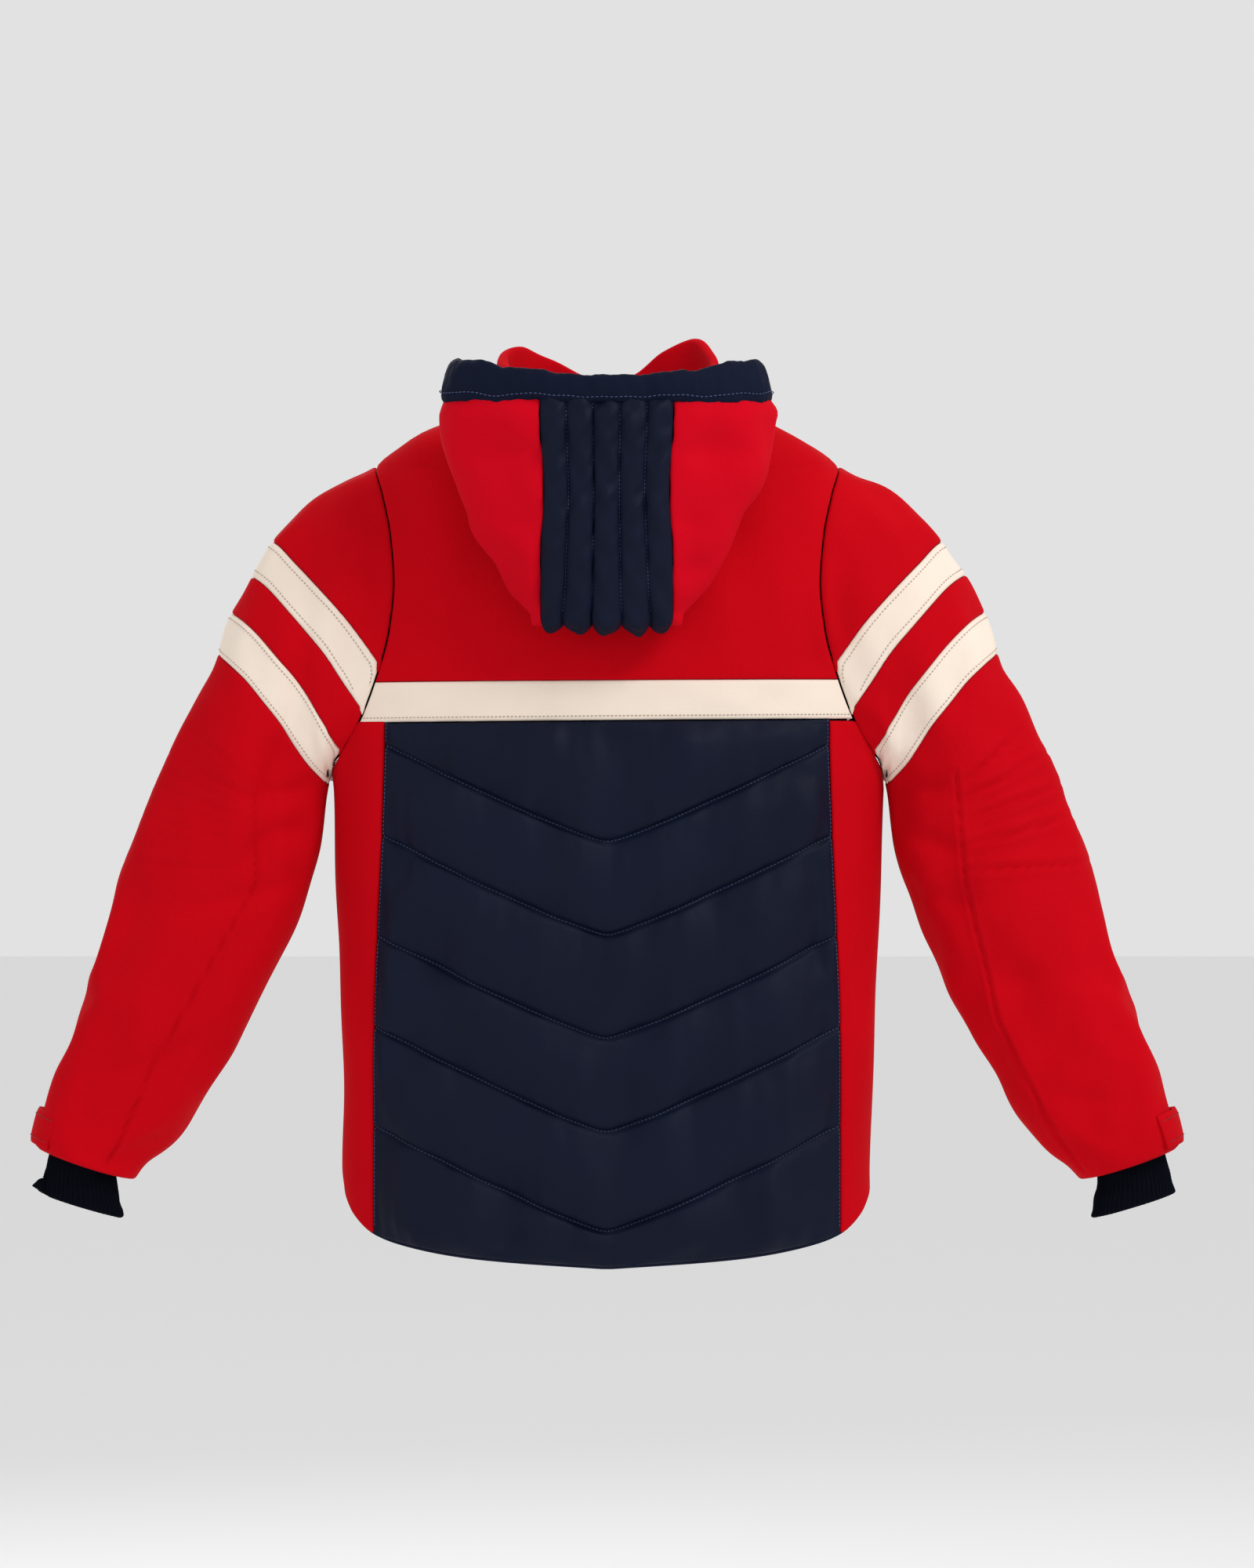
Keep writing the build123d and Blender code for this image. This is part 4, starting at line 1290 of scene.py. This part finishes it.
def hood_dents(p, phi, t, side):
    """Soft dents where the hood's cloth hangs slack, differing from side to side."""
    seed = 63 if side == "left" else 64
    fade = ease((t - 0.02) / 0.1) * ease((0.97 - t) / 0.12)
    fade = fade[None, :] * ease((phi - phi[:1]) / 0.15) * ease((math.radians(150) - phi) / 0.4)
    return ripple(p, (0.10, 0.10, 0.13), seed) * 3.2 * MM * fade


# ---- collar ----------------------------------------------------------------------------------
def collar_top(phi, side):
    """The collar's upper edge: low behind, a hump at each side of the front."""
    keys = np.radians((0, 30, 60, 85, 105, 128, 148, 165, 180))
    levels = np.array((34, 36, 41, 52, 62, 69, 60, 46, 38)) * MM
    if side == "right":
        levels = np.array((34, 36, 40, 50, 63, 76, 66, 46, 36)) * MM
    return smooth_table(keys, levels, phi)


def collar_pieces():
    for side in ("left", "right"):
        body = front_blend(side)
        phi_end = math.pi - math.asin(FRONT_EDGE / 0.085)
        s = spacing(0.27, 4.5 * MM)
        phi = phi_end * s
        foot = neck_z(phi) - 4 * MM
        top = collar_top(phi, side)
        tall = top - foot
        r = 4.6 * MM
        rows = []
        for share in np.linspace(0, 1, 15):
            rows.append((foot + (tall - r) * share, 0 * phi))
        for a in np.radians(np.linspace(20, 160, 8)):
            rows.append((top - r + r * math.sin(a), r - r * math.cos(a) + 0 * phi))
        for share in np.linspace(1, 0, 12):
            rows.append((foot - 6 * MM + (tall - r + 6 * MM) * share, 2 * r + 0 * phi))
        z = np.stack([row[0] for row in rows], 1)
        inward = np.stack([row[1] for row in rows], 1)
        wide = np.interp(z, COLLAR[:, 0], COLLAR[:, 1]) - inward
        deep = np.interp(z, COLLAR[:, 0], COLLAR[:, 2]) - inward
        x, y = oval(phi[:, None], wide, deep, 2.0)
        y = y + COLLAR[0, 3]
        share = np.clip((z - foot[:, None]) / tall[:, None], 0, 1)
        p = np.stack([x, y, z], -1)
        seed = 71 if side == "left" else 72
        wave = ripple(p * np.array((1, 1, 0.2)), (0.07, 0.07, 0.1), seed) * 3.0 * MM * share
        radial = np.stack([x / 0.09, y / 0.066, 0 * x], -1)
        radial /= np.linalg.norm(radial, axis=-1, keepdims=True)
        p = p + radial * wave[..., None]
        p = p[::-1] if side == "left" else flipped(p)[::-1]
        ob = slab(f"collar_cloth_{side}", p, RED, body, thick=2.2 * MM)
        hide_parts(f"collar_front_{side}", *(["collar_back"] if side == "left" else []))


# ---- inside ----------------------------------------------------------------------------------
def body_linings():
    """The linings of the body and the fronts, and the facing behind each front's edge."""

    def inner(p, depth, seed, wave=1.5):
        n = normals(p)
        return p - n * (depth + wave * MM * ripple(p, (0.05, 0.05, 0.12), seed))[..., None]

    def neck(theta):
        return neck_z(theta) - 4 * MM

    def hem(theta):
        return hem_z(theta) + 16 * MM

    def edge(z):
        return edge_theta(z, 2 * MM)

    tall = spacing(0.68, 14 * MM)
    p = patch(constant(-SIDE_SPLIT), constant(SIDE_SPLIT), neck, hem, spacing(0.8, 14 * MM), tall)
    p = inner(p, 11 * MM, 81)
    ob = slab("body_lining_cloth", p, LINING, "jacket_body", thick=0.9 * MM)
    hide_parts("body_lining", "body_wadding")
    for side in ("left", "right"):
        p = patch(constant(SIDE_SPLIT), edge, neck, hem, spacing(0.27, 12 * MM), tall)
        q = on_side(inner(p, 11 * MM, 82), side)
        ob = slab(f"front_lining_cloth_{side}", q, LINING, front_blend(side),
                  thick=0.9 * MM)
        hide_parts(f"front_lining_{side}")
        # facing behind the front's edge, joined to the outside
        z = np.linspace(float(neck_z(math.pi - 0.1)) - 2 * MM, HEM_FRONT + 3 * MM, 120)
        offsets = np.array((1.0, 3.0, 6.0, 9.0, 11.0, 12.0)) * MM
        xs = FRONT_EDGE + np.array((0.8, 0.2, 0.0, 0.4, 3.0, 18.0)) * MM
        theta = math.pi - theta_at(xs[:, None] + 0 * z[None, :], z[None, :] + 0 * xs[:, None])
        f = torso(theta, z[None, :] + 0 * xs[:, None])
        f[..., 1] += offsets[:, None]
        f = f[::-1]
        slab(f"front_facing_{side}", on_side(f, side), RED, front_blend(side),
             thick=1.2 * MM)


def hem_facings():
    """The hem's cloth turned in, all the way round."""
    for name, first, last, count, body in (
        ("back", -SIDE_SPLIT, SIDE_SPLIT, 100, "jacket_body"),
        ("left", SIDE_SPLIT, math.pi - 0.08, 44, front_blend("left")),
        ("right", SIDE_SPLIT, math.pi - 0.08, 44, front_blend("right")),
    ):
        theta = np.linspace(first, last, count)
        level = hem_z(theta)
        depths = (0.6, 2.0, 4.4, 7.6, 10.4, 11.6, 12.0)
        rise = (1.4, -0.4, -1.4, -1.2, 0.6, 5.0, 19.0)
        strip = []
        for d, r in zip(depths, rise):
            point = torso(theta, level + r * MM)
            across = np.stack([point[:, 0], point[:, 1] * 4, 0 * theta], -1)
            across /= np.linalg.norm(across, axis=1, keepdims=True)
            strip.append(point - across * d * MM)
        q = on_side(np.stack(strip, 1), name)
        slab(f"hem_facing_{name}", q, BINDING, body, thick=1.2 * MM)


def powder_skirt():
    """A gathered skirt inside the waist."""
    levels = np.linspace(SKIRT_TOP, SKIRT_BOTTOM, 16)
    theta = np.radians(np.linspace(-150, 150, 121))
    p = torso(theta[:, None] + 0 * levels, levels[None, :] + 0 * theta[:, None])
    n = normals(p)
    share = np.linspace(0, 1, 16)[None, :]
    gather = np.sin(theta * 34)[:, None] * (0.6 + 1.2 * share) * MM
    p = p - n * (16 * MM + 4 * MM * share + gather)[..., None]
    keep = np.abs(theta) <= math.radians(114)
    q = p[keep]
    ob = slab("powder_skirt_cloth", q, LINING, "jacket_body", thick=0.9 * MM)
    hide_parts("powder_skirt")


def metal_pieces():
    """The sliders and their pulls keep the CAD's shapes."""
    for name in ("front_zip_slider", "front_zip_pull", "pocket_slider_left", "pocket_slider_right",
                 "pocket_pull_left", "pocket_pull_right"):
        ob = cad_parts[name]
        ob.data.materials.clear()
        ob.data.materials.append(METAL)


def front_zip():
    """The tape and the teeth along each front's edge."""
    foot, top = low("front_zip_chain_left")[2], collar_top(math.pi, "left") - 6 * MM
    z = np.linspace(foot, float(top), 260)
    y = np.interp(z * 1000, (foot * 1000, -110, -62, -26, 67), (-81.5, -81.5, -72.8, -63.6, -69.8)) * MM
    line = np.stack([0 * z, y, z], -1)
    run = np.concatenate([[0], np.cumsum(np.linalg.norm(np.diff(line, axis=0), axis=1))])
    for side in ("left", "right"):
        sign = 1 if side == "left" else -1
        body = f"front_{side}"
        xs = np.array((5.0, 6.0, 9.0, 13.0, 19.0)) * MM
        p = line[None, :, :] + np.stack([xs * sign, 0 * xs, 0 * xs], -1)[:, None, :]
        p[..., 1] += 0.5 * MM
        p[3:, :, 1] += 1.5 * MM
        if sign > 0:
            p = p[::-1]
        ob = slab(f"zip_tape_cloth_{side}", p[:, ::2], TAPE, body, thick=0.9 * MM)
        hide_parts(f"front_zip_chain_{side}")
        at = np.arange(2 * MM, run[-1] - 3 * MM, 2.6 * MM) + (1.3 * MM if sign < 0 else 0)
        verts, faces = [], []
        for d in at:
            c = np.array([np.interp(d, run, line[:, k]) for k in range(3)])
            ahead = np.array([np.interp(d + MM, run, line[:, k]) for k in range(3)]) - c
            ahead /= np.linalg.norm(ahead)
            across = np.array((sign * 1.0, 0, 0))
            up = np.cross(across, ahead)
            base = len(verts)
            ring = ((0.2, 0.7), (1.4, 1.3), (4.6, 1.3), (6.0, 0.8))
            for reach, fat in ring:
                for da, du in ((-0.62, -1), (0.62, -1), (0.62, 1), (-0.62, 1)):
                    verts.append(c + across * reach * MM + ahead * da * MM + up * du * fat * MM)
            for k in range(3):
                for m in range(4):
                    a, b = base + 4 * k + m, base + 4 * k + (m + 1) % 4
                    faces.append([a, b, b + 4, a + 4])
            faces.append([base + 3, base + 2, base + 1, base])
            faces.append([base + 12, base + 13, base + 14, base + 15])
        make(f"zip_teeth_{side}", verts, faces, TEETH, body, smooth=False)


def storm_flap():
    """The flap behind the right front's zip."""
    lo, hi = low("storm_flap"), high("storm_flap")
    z = np.linspace(lo[2], hi[2], 80)
    xs = np.linspace(lo[0], hi[0], 9)
    p = np.zeros((9, 80, 3))
    p[..., 0] = xs[:, None]
    p[..., 2] = z[None, :]
    levels, depths = (-700, -220, -150, hi[2] * 1000), (-67.9, -67.9, -66.8, -65.4)
    p[..., 1] = np.interp(z * 1000, levels, depths)[None, :] * MM
    p[..., 1] += 0.5 * MM * ripple(p, (0.05, 0.05, 0.08), 88) - 1.2 * MM
    ob = slab("storm_flap_cloth", p, NAVY, "front_right", thick=2.4 * MM)
    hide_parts("storm_flap")


def hang_loop():
    """The webbing loop at the back of the neck."""
    a = np.radians(np.linspace(0, 180, 41))
    lo, hi = low("hang_loop"), high("hang_loop")
    x = (lo[0] + hi[0]) / 2 - (hi[0] - lo[0] - 2 * MM) / 2 * np.cos(a)
    zz = lo[2] + (hi[2] - lo[2] - 1.2 * MM) * np.sin(a) ** 0.9
    ys = np.linspace(hi[1], lo[1], 7)
    p = np.zeros((41, 7, 3))
    p[..., 0] = x[:, None]
    p[..., 2] = zz[:, None]
    p[..., 1] = ys[None, :]
    ob = slab("hang_loop_webbing", p, BINDING, "jacket_body", thick=1.6 * MM)
    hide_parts("hang_loop")


def pocket_piece(side):
    """A welted pocket: two rounded lips with a narrow groove between them."""
    sign = 1 if side == "left" else -1
    lo, hi = low(f"pocket_zip_{side}"), high(f"pocket_zip_{side}")
    inner = (lo[0], hi[0]) if sign > 0 else (-hi[0], -lo[0])
    steps = np.linspace(0, 1, 60)
    wide = 13 * MM
    slope = (inner[1] - inner[0]) - wide
    z = lo[2] + (hi[2] - lo[2]) * steps
    x = inner[1] - wide / 2 - slope * steps
    theta = math.pi - theta_at(x, z)
    c = torso(theta, z)
    d = torso(theta - 0.02, z)
    out = np.cross(c - d, np.gradient(c, axis=0))
    out /= np.linalg.norm(out, axis=1, keepdims=True)
    out *= -np.sign(out[:, 1:2])
    across = np.cross(np.gradient(c, axis=0), out)
    across /= np.linalg.norm(across, axis=1, keepdims=True)
    lip = ((8.5, -2.0), (7.6, 0.6), (6.0, 2.2), (3.8, 2.6), (2.0, 2.0), (1.5, 0.4), (1.2, -0.6))
    profile = [(-a, b) for a, b in lip] + [(0, -0.8)] + list(reversed(lip))
    p = np.stack([c + across * a * MM + out * (b - 0.4) * MM for a, b in profile], 0)
    n = normals(p)
    if np.mean((n * out[None]).sum(-1)) < 0:
        p = p[::-1]
    mirror = np.array((sign, 1, 1))
    q = p * mirror
    if sign < 0:
        q = q[::-1]
    body = f"front_{side}"
    ob = slab(f"pocket_welt_cloth_{side}", q, BINDING, body, thick=1.6 * MM)
    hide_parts(f"pocket_zip_{side}")


# ---- stage -----------------------------------------------------------------------------------
CAMERA_AWAY = 5.0
VIEW_TALL = 1.35
FLOOR_LEVEL = -1.35
SENSOR = 36


def stage():
    floor_mesh = bpy.data.meshes.new("floor")
    corners = [(x, y, FLOOR_LEVEL) for x, y in ((-30, -30), (30, -30), (30, 30), (-30, 30))]
    floor_mesh.from_pydata(corners, [], [(0, 1, 2, 3)])
    floor = bpy.data.objects.new("floor", floor_mesh)
    bpy.context.scene.collection.objects.link(floor)
    paper = Nodes("paper")
    paper.shader.inputs["Base Color"].default_value = (0.9, 0.9, 0.9, 1)
    paper.shader.inputs["Roughness"].default_value = 0.9
    floor_mesh.materials.append(paper.material)
    world = bpy.data.worlds.new("studio")
    world.use_nodes = True
    world.node_tree.nodes["Background"].inputs[0].default_value = (1, 1, 1, 1)
    world.node_tree.nodes["Background"].inputs[1].default_value = 0.76
    bpy.context.scene.world = world
    for name, at, size, power in (("key", (-1.9, 1.7, 1.9), 0.9, 46), ("fill", (2.0, 2.0, 0.3), 1.6, 5),
                                  ("front", (0.8, -2.4, 1.2), 2.0, 26)):
        light = bpy.data.lights.new(name, "AREA")
        light.size = size
        light.energy = power
        ob = bpy.data.objects.new(name, light)
        ob.location = at
        ob.rotation_euler = (Vector((0, 0, -0.3)) - Vector(at)).to_track_quat("-Z", "Y").to_euler()
        bpy.context.scene.collection.objects.link(ob)
    camera = bpy.data.cameras.new("camera")
    camera.sensor_fit = "VERTICAL"
    camera.sensor_height = SENSOR
    camera.lens = SENSOR * CAMERA_AWAY / VIEW_TALL
    ob = bpy.data.objects.new("camera", camera)
    ob.location = (-0.017, CAMERA_AWAY, -0.311)
    ob.rotation_euler = (math.radians(90), 0, math.radians(180))
    bpy.context.scene.collection.objects.link(ob)
    bpy.context.scene.camera = ob
    bpy.context.scene.view_settings.view_transform = "Standard"


stage()
back_pieces()
for side in ("left", "right"):
    side_and_front(side)
hood_pieces()
collar_pieces()
body_linings()
hem_facings()
powder_skirt()
metal_pieces()
front_zip()
storm_flap()
for side in ("left", "right"):
    pocket_piece(side)
hang_loop()
for side in ("left", "right"):
    sleeve_pieces(side)
    sleeve_lining(side)
    cuff_facing(side)
    wrist_gaiter(side)
    cuff_tab_piece(side)
